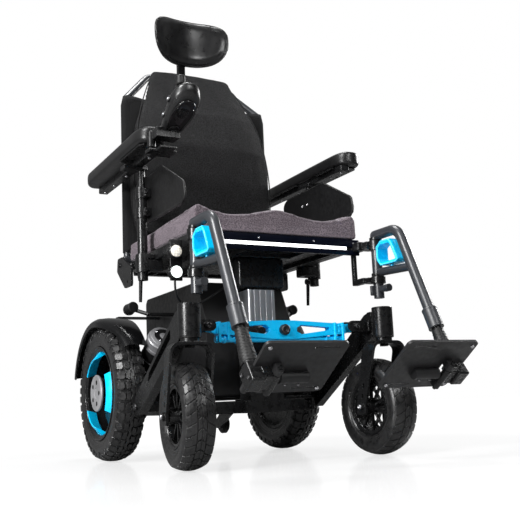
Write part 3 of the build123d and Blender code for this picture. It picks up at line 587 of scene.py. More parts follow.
def caster_tyre(tag, side, swivel):
    place = caster_place(side, swivel)
    carcass = [mm(*p) for p in (
        (-24, 66.2), (-28, 69), (-30.5, 72), (-30, 74), (-32.6, 78), (-32.2, 80.5), (-35, 87), (-35.8, 92.5),
        (-34.5, 98.5), (-31.5, 103.5), (-25, 108), (-12.6, 111), (-10.5, 111.2), (0, 111.8), (10.5, 111.2),
        (12.6, 111), (25, 108), (31.5, 103.5), (34.5, 98.5), (35.8, 92.5), (35, 87), (32.2, 80.5), (32.6, 78),
        (30, 74), (30.5, 72), (28, 69), (24, 66.2))]
    parts = [lathe(carcass, 96)]

    def crown(x):
        x = abs(x) * 1000
        return (115 - 0.0085 * x * x) / 1000

    def base(x):
        return crown(x) - 0.005

    count = 30
    pitch = 2 * pi / count
    steps = 4
    for s in (1, -1):
        for i in range(count):
            a = i * pitch
            slant = 0.55 * pitch
            # shoulder block between angled sipes, bent over the crown in steps
            for k in range(3):
                x0, x1 = 0.0108 + k * 0.0068, 0.0108 + (k + 1) * 0.0068
                lag0, lag1 = slant * k / 3, slant * (k + 1) / 3
                outline = [(a + lag0 - 0.44 * pitch, s * x0), (a + lag1 - 0.44 * pitch, s * x1),
                           (a + lag1 + 0.44 * pitch, s * x1), (a + lag0 + 0.44 * pitch, s * x0)]
                parts.append(strip_block(outline, crown, base, steps))
            half = a + 0.5 * pitch
            outline = [(half - 0.42 * pitch, s * 0.0008), (half - 0.15 * pitch, s * 0.0088),
                       (half + 0.70 * pitch, s * 0.0088), (half + 0.45 * pitch, s * 0.0008)]
            parts.append(strip_block(outline, crown, base, steps))
    parts.append(lathe([(x, crown(x) - 0.0006 if abs(x) < 0.0006 else base(x)) for x in
                        (-0.0012, -0.0005, 0.0005, 0.0012)], 96))
    tyre = piece(f"caster_tread_{tag}", merge(parts), "tyre", f"caster_{tag}", place=place)
    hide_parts(f"caster_tyre_{tag}")
    smooth_by_angle(tyre, 32)


def strip_block(outline, outer, inner, steps):
    """A block like tread_block's, split along its run so that its top stays round; outline has four corners."""
    (a0, x0), (a1, x1), (a2, x2), (a3, x3) = outline
    rings = []
    for i in range(steps + 1):
        t = i / steps
        ends = ((a0 + (a3 - a0) * t, x0 + (x3 - x0) * t), (a1 + (a2 - a1) * t, x1 + (x2 - x1) * t))
        ring = [(x, radius(x) * cos(a), radius(x) * sin(a)) for (a, x), radius in
                ((ends[0], inner), (ends[0], outer), (ends[1], outer), (ends[1], inner))]
        rings.append(ring)
    return loft(rings)


SWIVEL = {"l": 2.5, "r": -6.4}
for tag, side in SIDES:
    drive_tyre(tag, side)
    caster_tyre(tag, side, SWIVEL[tag])


# ---------------------------------------------------------------- the lamp lead
def lamp_lead():
    """A limp lead from the headlamp to the lift head, on the route of its CAD tube."""
    route = [(-246, -432, 418.5), (-246, -431, 400), (-239, -422, 380), (-219, -408, 367), (-191, -392, 365),
             (-160, -378, 374), (-128, -367, 390), (-96, -359, 410), (-63, -356, 430)]
    obj = soft_line("lamp_lead", [mm(*place) for place in route], 0.0025, 4, 16, use_endpoint_u=True)
    dress(obj, "rubber", "seat")
    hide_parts("lamp_cable")


lamp_lead()


# ---------------------------------------------------------------- wheels and drive
def hub_cover(tag, side):
    """Thick grey hub boss with five holes painted as flat black discs (painted shade), and the coloured covers that
    slope out from the rim between spokes, each with a pale blue painted highlight along its outer edge.
    """
    wheel, place = f"drive_wheel_{tag}", wheel_place(side)
    face = [mm(-7, 0.1), mm(-7, 45), mm(-4, 48), mm(-0.5, 48), mm(1.4, 46), mm(1.6, 15), mm(0.2, 13), mm(0.2, 0.1)]
    piece(f"hub_plate_{tag}", lathe(face, 72), "hub", wheel,
          place=aim(mm(300.4 * side, 0, AXLE_Z), (side, 0, 0)), sharp=30)
    # painted shade: the five holes are flat black discs laid on the boss face, not openings
    rows = [(mm(301.8 * side, 29 * cos(a), AXLE_Z + 29 * sin(a)), (side, 0, 0), 0.0062, 0.0007)
            for a in turns(5, 0.5)]
    screws(f"hub_hole_shade_discs_{tag}", wheel, "rubber", rows)
    # painted highlight: the pale blue ring drawn along the outer edge of each cover
    shell = [mm(14, 103), mm(20, 109.5), mm(26, 109.5), mm(28, 108.2), mm(43, 92), mm(43.4, 90), mm(41.5, 88.5),
             mm(34, 92)]
    edge = [mm(25.8, 109), mm(26.5, 110.2), mm(28.6, 109), mm(27.4, 107.4)]
    for name, look, profile, half in (("rim_cover", "blue_plastic", shell, 30),
                                      ("rim_cover_highlight_edges", "blue_painted_highlight", edge, 28.5)):
        parts = [lathe(profile, 24, radians(turn + 180 - half), radians(2 * half)) for turn in (0, 120, 240)]
        obj = piece(f"{name}_{tag}", flipped(merge(parts), side), look, wheel, place=place, sharp=35)
        if name == "rim_cover":
            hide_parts(f"rim_inserts_{tag}")
    # closed dish behind the spokes, and the lip that holds the tyre
    dish = [mm(-13, 46), mm(-16, 80), mm(-20, 111), mm(-22, 111), mm(-18, 80), mm(-15, 46)]
    piece(f"rim_dish_{tag}", flipped(lathe(dish, 72), side), "rim", wheel, place=place, sharp=35)
    lip = [mm(33, 117.5), mm(35.4, 118), mm(37.2, 120.2), mm(36.4, 122.6), mm(34.0, 122.6)]
    piece(f"rim_lip_{tag}", flipped(lathe(lip, 96), side), "rim", wheel, place=place, rounded=0.0006)


def mudguard(tag, side):
    """Crowned shell with a turned-down lip, its outer edge sweeping in towards the front, on its bracket."""
    rings, steps = [], 40
    for i in range(steps + 1):
        t = i / steps
        ahead = -76 + 130 * t
        sweep = smooth_step(6, 54, ahead)
        a, x1 = radians(90 + ahead), 309 - 34 * sweep
        x0, lip = 212.0, 174 + 13 * sweep
        wide = x1 - x0
        over = [(x0, 189), (x0 + 4, 194.5), (x0 + wide * 0.3, 198.5), (x0 + wide * 0.6, 199), (x1 - 14, 196.5),
                (x1 - 5, 192), (x1 - 1, 188), (x1, lip)]
        under = [(x1 - 3, lip), (x1 - 4, 186.5), (x1 - 8, 189.5), (x1 - 16, 193), (x0 + wide * 0.6, 195.6),
                 (x0 + wide * 0.3, 195.4), (x0 + 6, 192), (x0 + 3, 189)]
        rings.append([mm(x * side, r * cos(a), 178 + r * sin(a)) for x, r in over + under])
    parts = [loft(rings)]
    plate = [(-12, 375.5), (12, 375.5), (12, 381), (-12, 381)]
    parts.append(slab(plate, (120.2, 240), side))
    obj = piece(f"mudguard_{tag}", merge(parts), "gloss", "chassis", sharp=40)
    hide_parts(f"fender_{tag}")


def motor_trim(tag, side):
    """Cast end cap with bolts and cooling rings on the leaning motor."""
    start, end = Vector(mm(176 * side, -10, 186)), Vector(mm(170 * side, -152, 306))
    along = (end - start).normalized()
    place = aim(end, along)
    cap = [mm(-26, 38.2), mm(-26, 39.4), mm(-18, 39.4), mm(-18, 38.2), mm(-3, 38.2), mm(-3, 39.4), mm(1, 39.4),
           mm(3, 36.5), mm(11, 35), mm(13, 31), mm(13.6, 12), mm(14.6, 10), mm(14.6, 0.1), mm(-28, 0.1), mm(-28, 38.2)]
    piece(f"motor_cap_{tag}", lathe(cap, 64), "motor", "chassis", place=place, sharp=30)
    rows = []
    for i in range(4):
        a = pi / 4 + i * pi / 2
        rows.append((place @ Vector((0.0133, 0.022 * cos(a), 0.022 * sin(a))), along, 0.003, 0.002))
    screws(f"motor_bolts_{tag}", "chassis", "steel", rows)
    rings = [lathe([(x, 0.0380), (x, 0.0392), (x + 0.0035, 0.0392), (x + 0.0035, 0.0380)], 64)
             for x in (-0.062, -0.092, -0.122)]
    piece(f"motor_bands_{tag}", merge(rings), "silver", "chassis", place=place, rounded=0.0004)


def rear_lamp_trim(side, tag):
    """Lens and bezel on the round rear lamp."""
    place = aim(mm(240 * side, -96, 390), (0, 1, 0.08))
    bezel = [mm(-6, 13.9), mm(-6, 15.2), mm(1.6, 15.2), mm(2.4, 14.2), mm(1.2, 12.2), mm(-1, 12.2)]
    piece(f"rear_lamp_bezel_{tag}", lathe(bezel, 48), "rubber", "chassis", place=place, sharp=35)
    lens = [mm(-0.8, 0.1), mm(-0.8, 12.4), mm(1.0, 12.2), mm(2.2, 9), mm(2.9, 4.5), mm(3.1, 0.1)]
    piece(f"rear_lamp_lens_{tag}", lathe(lens, 40), "red_lens", "chassis", place=place, sharp=40)


def fork_details(tag, side):
    turn = caster_place(side, SWIVEL[tag])
    rows = []
    for s in (1, -1):
        rows.append((turn @ Vector(mm(s * 55, 0, 0)), (turn.to_3x3() @ Vector((s, 0, 0))), 0.0058, 0.0035))
    screws(f"axle_bolts_{tag}", f"fork_{tag}", "steel", rows)
    # thin bright rim lips of the caster
    parts = []
    for s in (1, -1):
        parts.append(lathe([(s * 0.0262, 0.0635), (s * 0.0285, 0.0650), (s * 0.0292, 0.0680), (s * 0.0272, 0.0684),
                            (s * 0.0255, 0.0655)], 72))
    piece(f"caster_rim_lips_{tag}", merge(parts), "rim", f"caster_{tag}", place=turn, sharp=40)
    # cap and grease seal of the headstock
    cap = [mm(-1, 0.1), mm(-1, 22.5), mm(0.2, 22.5), mm(0.5, 20.5), mm(0.6, 14), mm(0.6, 0.1)]
    seal = [mm(0, 15), mm(0, 24.6), mm(-1.6, 24.6), mm(-2.2, 23), mm(-2.2, 15)]
    for name, profile, look, slot, z in (("cap", cap, "gloss", "plastic", 352),
                                         ("seal", seal, "rubber", "rubber", 280)):
        piece(f"headstock_{name}_{tag}", lathe(profile, 56), look, f"arm_{tag}",
              place=aim(mm(CASTER_X * side, CASTER_Y, z), (0, 0, 1)), sharp=35)
    rows = [(mm(268 * side, -214, 138), (side, 0, 0), 0.0085, 0.004)]
    screws(f"arm_pivot_bolt_{tag}", f"arm_{tag}", "dark_steel", rows)
    rows = [(mm(199 * side, -503, 309), (0, -1, 0), 0.0068, 0.0035)]
    screws(f"link_bolt_{tag}", f"arm_{tag}", "dark_steel", rows)


def beam_trim():
    rows = [(mm(0, -497, 300), (0, -1, 0), 0.0115, 0.004)]
    screws("beam_pivot_bolt", "chassis", "dark_steel", rows)
    rings = []
    for x in (-150, -120, 120, 150):
        rings.append(moved(lathe([mm(-3, 6.8), mm(-3, 9), mm(3, 9), mm(3, 6.8)], 32),
                           Matrix.Translation(mm(x, -477, 279))))
    piece("beam_rod_collars", merge(rings), "blue", "beam", rounded=0.0008)
    rows = [(mm(s * x, -488, z), (0, -1, 0), 0.0028, 0.002) for s in (1, -1) for x, z in ((154, 310), (154, 296))]
    screws("beam_rivets", "beam", "blue", rows)


for tag, side in SIDES:
    hub_cover(tag, side)
    mudguard(tag, side)
    motor_trim(tag, side)
    rear_lamp_trim(side, tag)
    fork_details(tag, side)
beam_trim()


# ---------------------------------------------------------------- legrests
LEAN = radians(24)
LEG_DOWN = Vector((0, -sin(LEAN), -cos(LEAN)))
TILT = radians(36)


def leg_point(distance, side):
    return Vector(mm(LEG_X * side, -630, 527)) + LEG_DOWN * (distance / 1000)


def on_plate(x, along, above):
    y = -742 - along * cos(TILT) + above * sin(TILT)
    z = 154 + along * sin(TILT) + above * cos(TILT)
    return mm(x, y, z)


def legrest_details(tag, side):
    # ribbed rubber boot over the sliding tube
    rings, sides = [], 40
    frame_x = aim(leg_point(276, side), LEG_DOWN).to_3x3()
    origin = leg_point(276, side)
    steps = 48
    for i in range(steps + 1):
        t = i / steps
        radius = 12.6 + 5.2 * t ** 0.8 + 0.45 * sin(2 * pi * t * 11)
        radius = radius if t < 0.97 else radius - 1.2
        rings.append([origin + frame_x @ Vector(mm(74 * t, radius * cos(a), radius * sin(a)))
                      for a in turns(sides)])
    piece(f"leg_boot_{tag}", loft(rings), "rubber", f"leg_extension_{tag}")
    # sleeve seam and end collar on the hanger tube
    rings = []
    for start, long, radius in ((222, 5, 17.6), (267, 3.5, 17.5)):
        shape = lathe([mm(0, 16.8), mm(0.6, radius), mm(long - 0.6, radius), mm(long, 16.8)], 48)
        rings.append(moved(shape, aim(leg_point(start, side), LEG_DOWN)))
    piece(f"hanger_collars_{tag}", merge(rings), "tube", f"legrest_{tag}", sharp=35)
    # screws through the footplate slots and in the boss under it
    down = Vector((0, sin(TILT), cos(TILT))) * -1
    rows = []
    for x, along in ((238, 13), (238, 133), (84, 12)):
        rows.append((on_plate(x * side, along, -0.2), down, 0.0042, 0.003))
    for x in (145, 174):
        rows.append((on_plate(x * side, 42, -13.5), Vector((0, 0.55, -0.83)), 0.003, 0.0018))
    screws(f"footplate_screws_{tag}", f"plate_{tag}", "steel", rows)
    rows = [(on_plate(258 * side, 44, 8), (side, 0, 0), 0.005, 0.003),
            (on_plate(258 * side, 64, -12), (side, 0, 0), 0.005, 0.003)]
    screws(f"bracket_screws_{tag}", f"leg_extension_{tag}", "dark_steel", rows)
    # clamp collars on the pivot post, and finger ridges and edge lines on the release loop, in pale blue as a painted
    # highlight
    rings = [moved(lathe([mm(0, 12.4), mm(0, 15.2), mm(7, 15.2), mm(7, 12.4)], 40),
                   aim(mm(LEG_X * side, -541, z), (0, 0, 1))) for z in (426, 514.5)]
    piece(f"post_collars_{tag}", merge(rings), "paint", f"legrest_{tag}", rounded=0.0008)
    ridges = []
    for y in (-582, -588, -594, -600, -606):
        ridges.append(tube_along([mm(226.5 * side, y, 499.2), mm(LEG_X * side, y, 498.6), mm(255.5 * side, y, 499.2)],
                                 0.0021, 8))
    rim = [(-562, 466), (-562, 492), (-579, 504), (-611, 504), (-620, 492), (-639, 452), (-633, 448), (-576, 448)]
    for x in (226, 256):
        ridges.append(tube_along([mm(x * side, y, z) for y, z in rim], 0.0014, 8, closed=True))
    piece(f"release_loop_grip_highlight_{tag}", merge(ridges), "blue_painted_highlight", f"release_{tag}")


for tag, side in SIDES:
    legrest_details(tag, side)


# ---------------------------------------------------------------- seat front, lamps, armrests
def seat_trim():
    # glossy front panel above and below the light line
    for name, low, high in (("seat_front_upper", 504.2, 523.5), ("seat_front_lower", 484.0, 497.0)):
        ring = [(-492.1, low), (-496.2, low + 0.6), (-496.8, (low + high) / 2), (-496.2, high - 0.6), (-492.1, high)]
        piece(name, slab(ring, (-222, -221, -120, 0, 120, 221, 222)), "navy", "seat", sharp=40)
    rows = [(mm(x, -496.7, 514), (0, -1, 0), 0.0026, 0.0015) for x in (-205, -60, 90, 205)]
    screws("seat_front_screws", "seat", "steel", rows)
    for x in (-160, -80, 80, 160):
        rib = [(-478, 497.6), (-478, 488), (-60, 488), (-60, 497.6)]
        piece(f"pan_rib_{'n' if x < 0 else 'p'}{abs(x)}", slab(rib, (x - 1.2, x + 1.2)), "paint", "seat",
              smooth=False)


def lamp_lens(name, look, height):
    place = aim(mm(-246, -443, height), (0, -1, 0))
    bezel = [mm(-3, 16.2), mm(1.6, 16.4), mm(2.6, 15.4), mm(1.4, 13.6), mm(-2, 13.6)]
    piece(f"{name}_bezel", lathe(bezel, 56), "gloss", "seat", place=place, sharp=35)
    lens = [mm(-1, 0.1), mm(-1, 13.8), mm(1.2, 13.6), mm(2.6, 11.5), mm(3.4, 6), mm(3.7, 0.1)]
    piece(f"{name}_lens", lathe(lens, 48), look, "seat", place=place, sharp=40)
    fins = [moved(lathe([mm(0, 15.6), mm(0, 17.3), mm(1.6, 17.3), mm(1.6, 15.6)], 48),
                  aim(mm(-246, -430 - 4 * i, height), (0, 1, 0))) for i in range(3)]
    piece(f"{name}_cooling_fins", merge(fins), "plastic", "seat", rounded=0.0004)


def arm_pad(tag, side):
    """Moulded pad: boat-shaped plan, crowned top, pulled-in underside with a flat landing."""
    rings, steps, sides = [], 40, 36
    for i in range(steps + 1):
        t = i / steps
        y = -414 + 463 * (0.5 - 0.5 * cos(pi * t))
        along = (y + 414) / 463
        nose, tail = min(1.0, along / 0.12), min(1.0, (1 - along) / 0.12)
        taper = max(0.05, ((1 - (1 - nose) ** 2.4) * (1 - (1 - tail) ** 2.4)) ** 0.42)
        half = (38.5 - 5.5 * smooth_step(0.35, 1.0, t)) * taper
        top = 787.5 - 12 * (1 - taper) ** 2 - 1.2 * sin(pi * t)
        low = 747 + 10 * (1 - taper) ** 2
        centre, middle, high = 279.5 + 3.5 * smooth_step(0.35, 1.0, t), (top + low) / 2, (top - low) / 2
        rings.append([mm((centre + x) * side, y, middle + z)
                      for x, z in soft_section(sides, half, high, 0.55, 0.62, 0.42, 0.08)])
    obj = piece(f"arm_pad_skin_{tag}", loft(rings), "arm_skin", f"armrest_{tag}")
    mod = obj.modifiers.new("soft", "SUBSURF")
    mod.levels = mod.render_levels = 1
    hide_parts(f"arm_pad_{tag}")
    # landing plate with plugged holes under the front half, rail screws and flanges
    plan = [(250, -372), (262, -392), (300, -392), (308, -380), (308, -236), (303, -230), (250, -230)]
    piece(f"arm_pad_plate_{tag}", loft([[mm(x * side, y, z) for x, y in plan] for z in (743.8, 747.2)]), "paint",
          f"armrest_{tag}", smooth=False, rounded=0.0008)
    rows = [(mm(x * side, y, 743.8), (0, 0, -1), 0.0036, 0.0008) for x in (283, 299) for y in (-365, -305)]
    screws(f"arm_pad_plate_plugs_{tag}", f"armrest_{tag}", "rubber", rows)
    rows = [(mm(263 * side, y, 733), (0, 0, -1), 0.0042, 0.0025) for y in (-380, -330, -160, -60, 20)]
    screws(f"arm_rail_screws_{tag}", f"armrest_{tag}", "steel", rows)
    flanges = [box((238, 249.9), ys, (744, 747.5), side) for ys in ((-372, -290), (-180, 10))]
    piece(f"arm_pad_flanges_{tag}", merge(flanges), "paint", f"armrest_{tag}", smooth=False,
          rounded=0.0012)


def guard_details(tag, side):
    rows = [(mm(228.7 * side, y, z), (-side, 0, 0), 0.0034, 0.0018) for y, z in
            ((-256, 672), (-256, 620), (-230, 672), (-230, 620))]
    screws(f"guard_screws_{tag}", "seat", "steel", rows)
    rows = [(mm(251 * side, -264, z), (0, -1, 0), 0.004, 0.003) for z in (617, 665)]
    screws(f"guard_clamp_screws_{tag}", "seat", "dark_steel", rows)
    edge = [(-128, 645), (-128, 690), (-134, 700), (-152, 708.5), (-330, 712.5), (-345, 708), (-452, 649), (-464, 640),
            (-469, 616), (-466, 604), (-450, 596), (-300, 596), (-182, 604), (-140, 622)]
    piece(f"guard_edge_trim_{tag}", tube_along([mm(231.1 * side, y, z) for y, z in edge], 0.0030, 10, closed=True),
          "rubber", "seat")


def control_low(t):
    return 744 + 52 * t + 9 * max(0.0, (t - 0.7) / 0.3) ** 2


def control_top(t):
    return 772 + 78 * t - 6 * t * t


def controller():
    """Sculpted hand control, nose up: swelling front, glossy rim, recessed face with grille and sockets."""
    rings, steps, sides = [], 34, 44
    for i in range(steps + 1):
        t = i / steps
        y = -424 - 154 * t
        swell = 0.66 + 0.36 * smooth_step(0.05, 0.72, t)
        nose = (1 - max(0.0, (t - 0.72) / 0.285) ** 2.4) ** 0.5
        tail = min(1.0, 0.62 + 0.38 * (t / 0.10)) if t < 0.10 else 1.0
        half = 33.5 * swell * nose * tail
        low, top = control_low(t), control_top(t)
        middle, high = (top + low) / 2, (top - low) / 2 * max(0.12, nose) ** 0.6
        rings.append([mm(POD_X + x, y, middle + z) for x, z in soft_section(sides, half, high, 0.72, 0.72, 0.72)])
    obj = piece("hand_control_shell", loft(rings), "satin_skin", "control")
    mod = obj.modifiers.new("soft", "SUBSURF")
    mod.levels = mod.render_levels = 1
    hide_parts("controller_box")
    # hinge knuckle and its arm, carried over from the CAD solid
    parts = [moved(lathe([mm(726, 5.05), mm(726, 9.2), mm(727, 10), mm(763, 10), mm(764, 9.2), mm(764, 5.05)], 32),
                   Matrix.Translation(mm(-294, -428, 0)) @ Matrix.Rotation(-pi / 2, 4, "Y"))]
    arm = [(-470, 742), (-432, 742), (-428, 748), (-428, 760), (-436, 765), (-470, 765)]
    parts.append(slab(arm, (-296, -240)))
    piece("hand_control_knuckle", merge(parts), "paint", "control", sharp=35, rounded=0.001)
    slope = (control_low(1) - control_low(0)) / 154

    def under(x, along, below):
        return mm(x, -424 - 154 * along, control_low(along) - below)

    # oval glossy rim and dark face plate on the underside
    outline = []
    for k in range(56):
        a = 2 * pi * k / 56
        along = 0.54 + 0.37 * sin(a)
        wide = 21 + 6.5 * smooth_step(0.3, 0.8, along)
        outline.append((POD_X + wide * abs(cos(a)) ** 0.8 * (1 if cos(a) > 0 else -1), along))
    piece("hand_control_rim", tube_along([under(x, t, 0.8) for x, t in outline], 0.0026, 10, closed=True), "gloss",
          "control")
    piece("hand_control_face", loft([[under(x, t, -2.0) for x, t in outline], [under(x, t, 0.9) for x,
          t in outline]]), "plastic", "control", smooth=False)
    parts = []

    def circle(along, radius, below, thick):
        centre = Vector(under(POD_X, along, below))
        return tube_along([centre + Vector((radius * cos(a), -radius * sin(a), radius * sin(a) * slope))
                           for a in turns(36)], thick, 8, closed=True)

    for radius in (0.0135, 0.0095, 0.0055):
        parts.append(circle(0.68, radius, 1.2, 0.0010))
    for dx in (-7.5, -2.5, 2.5, 7.5):
        half = (0.0115 ** 2 - (dx / 1000) ** 2) ** 0.5
        spot = Vector(under(POD_X + dx, 0.68, 1.3))
        step = Vector((0, half, -half * slope))
        parts.append(tube_along([spot - step, spot, spot + step], 0.0008, 8))
    parts += [circle(0.33, 0.0105, 1.0, 0.0024), circle(0.33, 0.0062, 1.0, 0.0014)]
    piece("hand_control_grille", merge(parts), "gloss", "control")
    rows = [(under(POD_X + dx, t, 1.0), (0, 0, -1), 0.0022, 0.0014) for dx, t in
            ((-20, 0.78), (20, 0.78), (-15, 0.24), (15, 0.24))]
    screws("hand_control_screws", "control", "steel", rows)
    # keys on top, sockets with bright rings at the outer side
    keys = []
    for dx, t in ((-13, 0.26), (0, 0.26), (13, 0.26), (-15, 0.40), (15, 0.40)):
        place = aim(mm(POD_X + dx, -424 - 154 * t, control_top(t) - 1.2), (0, 0.4, 1))
        keys.append(moved(lathe([mm(-4, 0.1), mm(-4, 4.6), mm(1.6, 4.6), mm(2.6, 3.6), mm(3.0, 0.1)], 24), place))
    obj = piece("hand_control_keys", merge(keys), "rubber", "control", sharp=40)
    for name, look, row in (("sockets", "paint", (-6, 0.1, 7.6, 5.0)), ("socket_pins", "silver", (-6, 0.1, 3.4, 6.2))):
        parts = []
        for t, rise in ((0.40, 0.62), (0.70, 0.62)):
            z = control_low(t) + (control_top(t) - control_low(t)) * rise
            wide = 33.5 * (0.66 + 0.36 * smooth_step(0.05, 0.72, t))
            place = aim(mm(POD_X - wide + 1.5, -424 - 154 * t, z), (-1, 0, 0.15))
            back, inner, outer, reach = row
            parts.append(moved(lathe([mm(back, inner), mm(back, outer), mm(reach - 1, outer), mm(reach, outer - 1),
                                      mm(reach, inner)], 28), place))
        piece(f"hand_control_{name}", merge(parts), look, "control", sharp=40)
    # gaiter folds under the stick
    stick = Vector(mm(POD_X, -520, 0))
    profile = []
    for i in range(7):
        r, z = 20 - 1.6 * i, 817 + 2.1 * i
        profile += [(z, r), (z + 1.0, r - 2.6)]
    rings = [[stick + Vector(mm(r * cos(a), r * sin(a), z)) for a in turns(36)]
             for z, r in profile]
    piece("stick_gaiter", loft(rings, cap=False), "rubber", "control")


seat_trim()
lamp_lens("marker_lamp", "marker", 483)
lamp_lens("headlamp", "headlamp", 435)
for tag, side in SIDES:
    arm_pad(tag, side)
    guard_details(tag, side)
controller()


# ---------------------------------------------------------------- soft goods
def inflate(obj, voxel, pressure, cap, rest=lambda co: 1.0):
    """Remeshes a closed form and lets cloth under pressure swell it by at most cap; rest scales that by place."""
    remesh = obj.modifiers.new("remesh", "REMESH")
    remesh.mode, remesh.voxel_size, remesh.use_smooth_shade = "VOXEL", voxel, True
    apply_modifiers(obj)
    flat = [v.co.copy() for v in obj.data.vertices]
    mod = obj.modifiers.new("cloth", "CLOTH")
    settings = mod.settings
    settings.quality, settings.mass = 5, 0.2
    settings.tension_stiffness = settings.compression_stiffness = 12
    settings.shear_stiffness, settings.bending_stiffness = 6, 0.6
    settings.use_pressure, settings.uniform_pressure_force = True, pressure
    settings.effector_weights.gravity = 0
    mod.point_cache.frame_start, mod.point_cache.frame_end = 1, 20
    for step in range(1, 21):
        SCENE.frame_set(step)
    apply_modifiers(obj)
    SCENE.frame_set(1)
    for vertex, start in zip(obj.data.vertices, flat):
        shift = vertex.co - start
        limit = cap * rest(start)
        if shift.length > limit:
            vertex.co = start + shift.normalized() * limit


def apply_modifiers(obj):
    depsgraph = bpy.context.evaluated_depsgraph_get()
    mesh = bpy.data.meshes.new_from_object(obj.evaluated_get(depsgraph))
    old = obj.data
    obj.modifiers.clear()
    obj.data = mesh
    bpy.data.meshes.remove(old)


def relax(obj, rounds, factor=0.5):
    mod = obj.modifiers.new("relax", "SMOOTH")
    mod.factor, mod.iterations = factor, rounds
    apply_modifiers(obj)


def soften(obj, change, levels=1):
    """One subdivision, then moves each vertex along its normal by change(co, normal)."""
    mod = obj.modifiers.new("fine", "SUBSURF")
    mod.levels = mod.render_levels = levels
    apply_modifiers(obj)
    normals = [v.normal.copy() for v in obj.data.vertices]
    for vertex, normal in zip(obj.data.vertices, normals):
        vertex.co += normal * change(vertex.co, normal)
    for polygon in obj.data.polygons:
        polygon.use_smooth = True


def raw(name, verts, faces):
    mesh = bpy.data.meshes.new(name)
    mesh.from_pydata([tuple(v) for v in verts], [], faces)
    mesh.update()
    obj = bpy.data.objects.new(name, mesh)
    SCENE.collection.objects.link(obj)
    weld(obj)
    return obj


def groove(distance, width, depth):
    return -depth * exp(-(distance / width) ** 2)


def wrinkles(co, size, depth, seed=0.0):
    return depth * noise.fractal(Vector((co.x + seed, co.y, co.z)) / size, 1.0, 2.0, 3)


FRONT_WAVE = [(0, 586), (34, 581), (80, 572), (130, 567.5), (175, 574), (205, 584), (217, 587), (228, 585)]


def wave(x):
    """Height of the cushion's top along its front edge."""
    x = abs(x) * 1000
    for (x0, z0), (x1, z1) in zip(FRONT_WAVE, FRONT_WAVE[1:]):
        if x <= x1:
            return (z0 + (z1 - z0) * smooth_step(x0, x1, x)) / 1000 if x0 else (z0 + (z1 - z0) * (x / x1) ** 2) / 1000
    return FRONT_WAVE[-1][1] / 1000


def seat_cushion():
    nx, ny, nz = 56, 54, 8
    front, rear, half, bottom = -0.4945, -0.050, 0.2235, 0.5258

    def spot(u, v, w):
        x, y = half * u, front + (rear - front) * v
        back = smooth_step(0.0, 0.75, v)
        top = wave(x) * (1 - back) + (0.571 + 0.007 * abs(u) ** 3) * back
        corner = (abs(u) ** 10 + abs(2 * v - 1) ** 12)
        z = bottom + (top - bottom) * w
        squeeze = 1 - 0.012 * (2 * w - 1) ** 4 - 0.01 * min(1.0, corner) * (2 * w - 1) ** 2
        return (x * squeeze, front + (y - front) if 0 < v < 1 else y, z)

    verts, index = [], {}
    for i in range(nx + 1):
        for j in range(ny + 1):
            for k in range(nz + 1):
                if i in (0, nx) or j in (0, ny) or k in (0, nz):
                    index[i, j, k] = len(verts)
                    verts.append(spot(2 * i / nx - 1, j / ny, k / nz))
    faces = []
    for i in range(nx):
        for j in range(ny):
            for k in (0, nz):
                faces.append([index[i, j, k], index[i + 1, j, k], index[i + 1, j + 1, k], index[i, j + 1, k]])
    for i in range(nx):
        for k in range(nz):
            for j in (0, ny):
                faces.append([index[i, j, k], index[i + 1, j, k], index[i + 1, j, k + 1], index[i, j, k + 1]])
    for j in range(ny):
        for k in range(nz):
            for i in (0, nx):
                faces.append([index[i, j, k], index[i, j + 1, k], index[i, j + 1, k + 1], index[i, j, k + 1]])
    obj = raw("seat_cushion_cover", verts, faces)
    inflate(obj, 0.0065, 4, 0.0045, lambda co: smooth_step(0.523, 0.545, co.z))
    relax(obj, 3)

    def change(co, normal):
        move = wrinkles(co, 0.05, 0.0007)
        # piped seam along the top edge, a lower seam and closed corners at the front
        rim = wave(co.x) * (1 - smooth_step(0, 0.75, (co.y - front) / (rear - front))) + 0.571 * smooth_step(
            0, 0.75, (co.y - front) / (rear - front))
        outside = abs(normal.z) < 0.75
        if outside:
            move += groove(co.z - (rim - 0.010), 0.0016, 0.0016) + groove(co.z - 0.5335, 0.0016, 0.0012)
            if co.y < front + 0.02:
                move += groove(abs(co.x) - 0.2105, 0.0018, 0.0014)
        elif normal.z > 0:
            for x in (-0.078, 0.078):
                move += groove(co.x - x, 0.0035, 0.0016) * smooth_step(-0.44, -0.38, co.y)
            move += groove(co.y + 0.20, 0.0035, 0.0014) * smooth_step(0.17, 0.12, abs(co.x))
            move += 0.0025 * exp(-(co.x / 0.05) ** 2) * exp(-((co.y + 0.40) / 0.08) ** 2)
        return move

    soften(obj, change)
    for vertex in obj.data.vertices:
        vertex.co.z = max(vertex.co.z, 0.5225)
        vertex.co.y = max(vertex.co.y, -0.506)
    dress(obj, "cushion", "seat")
    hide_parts("seat_cushion")


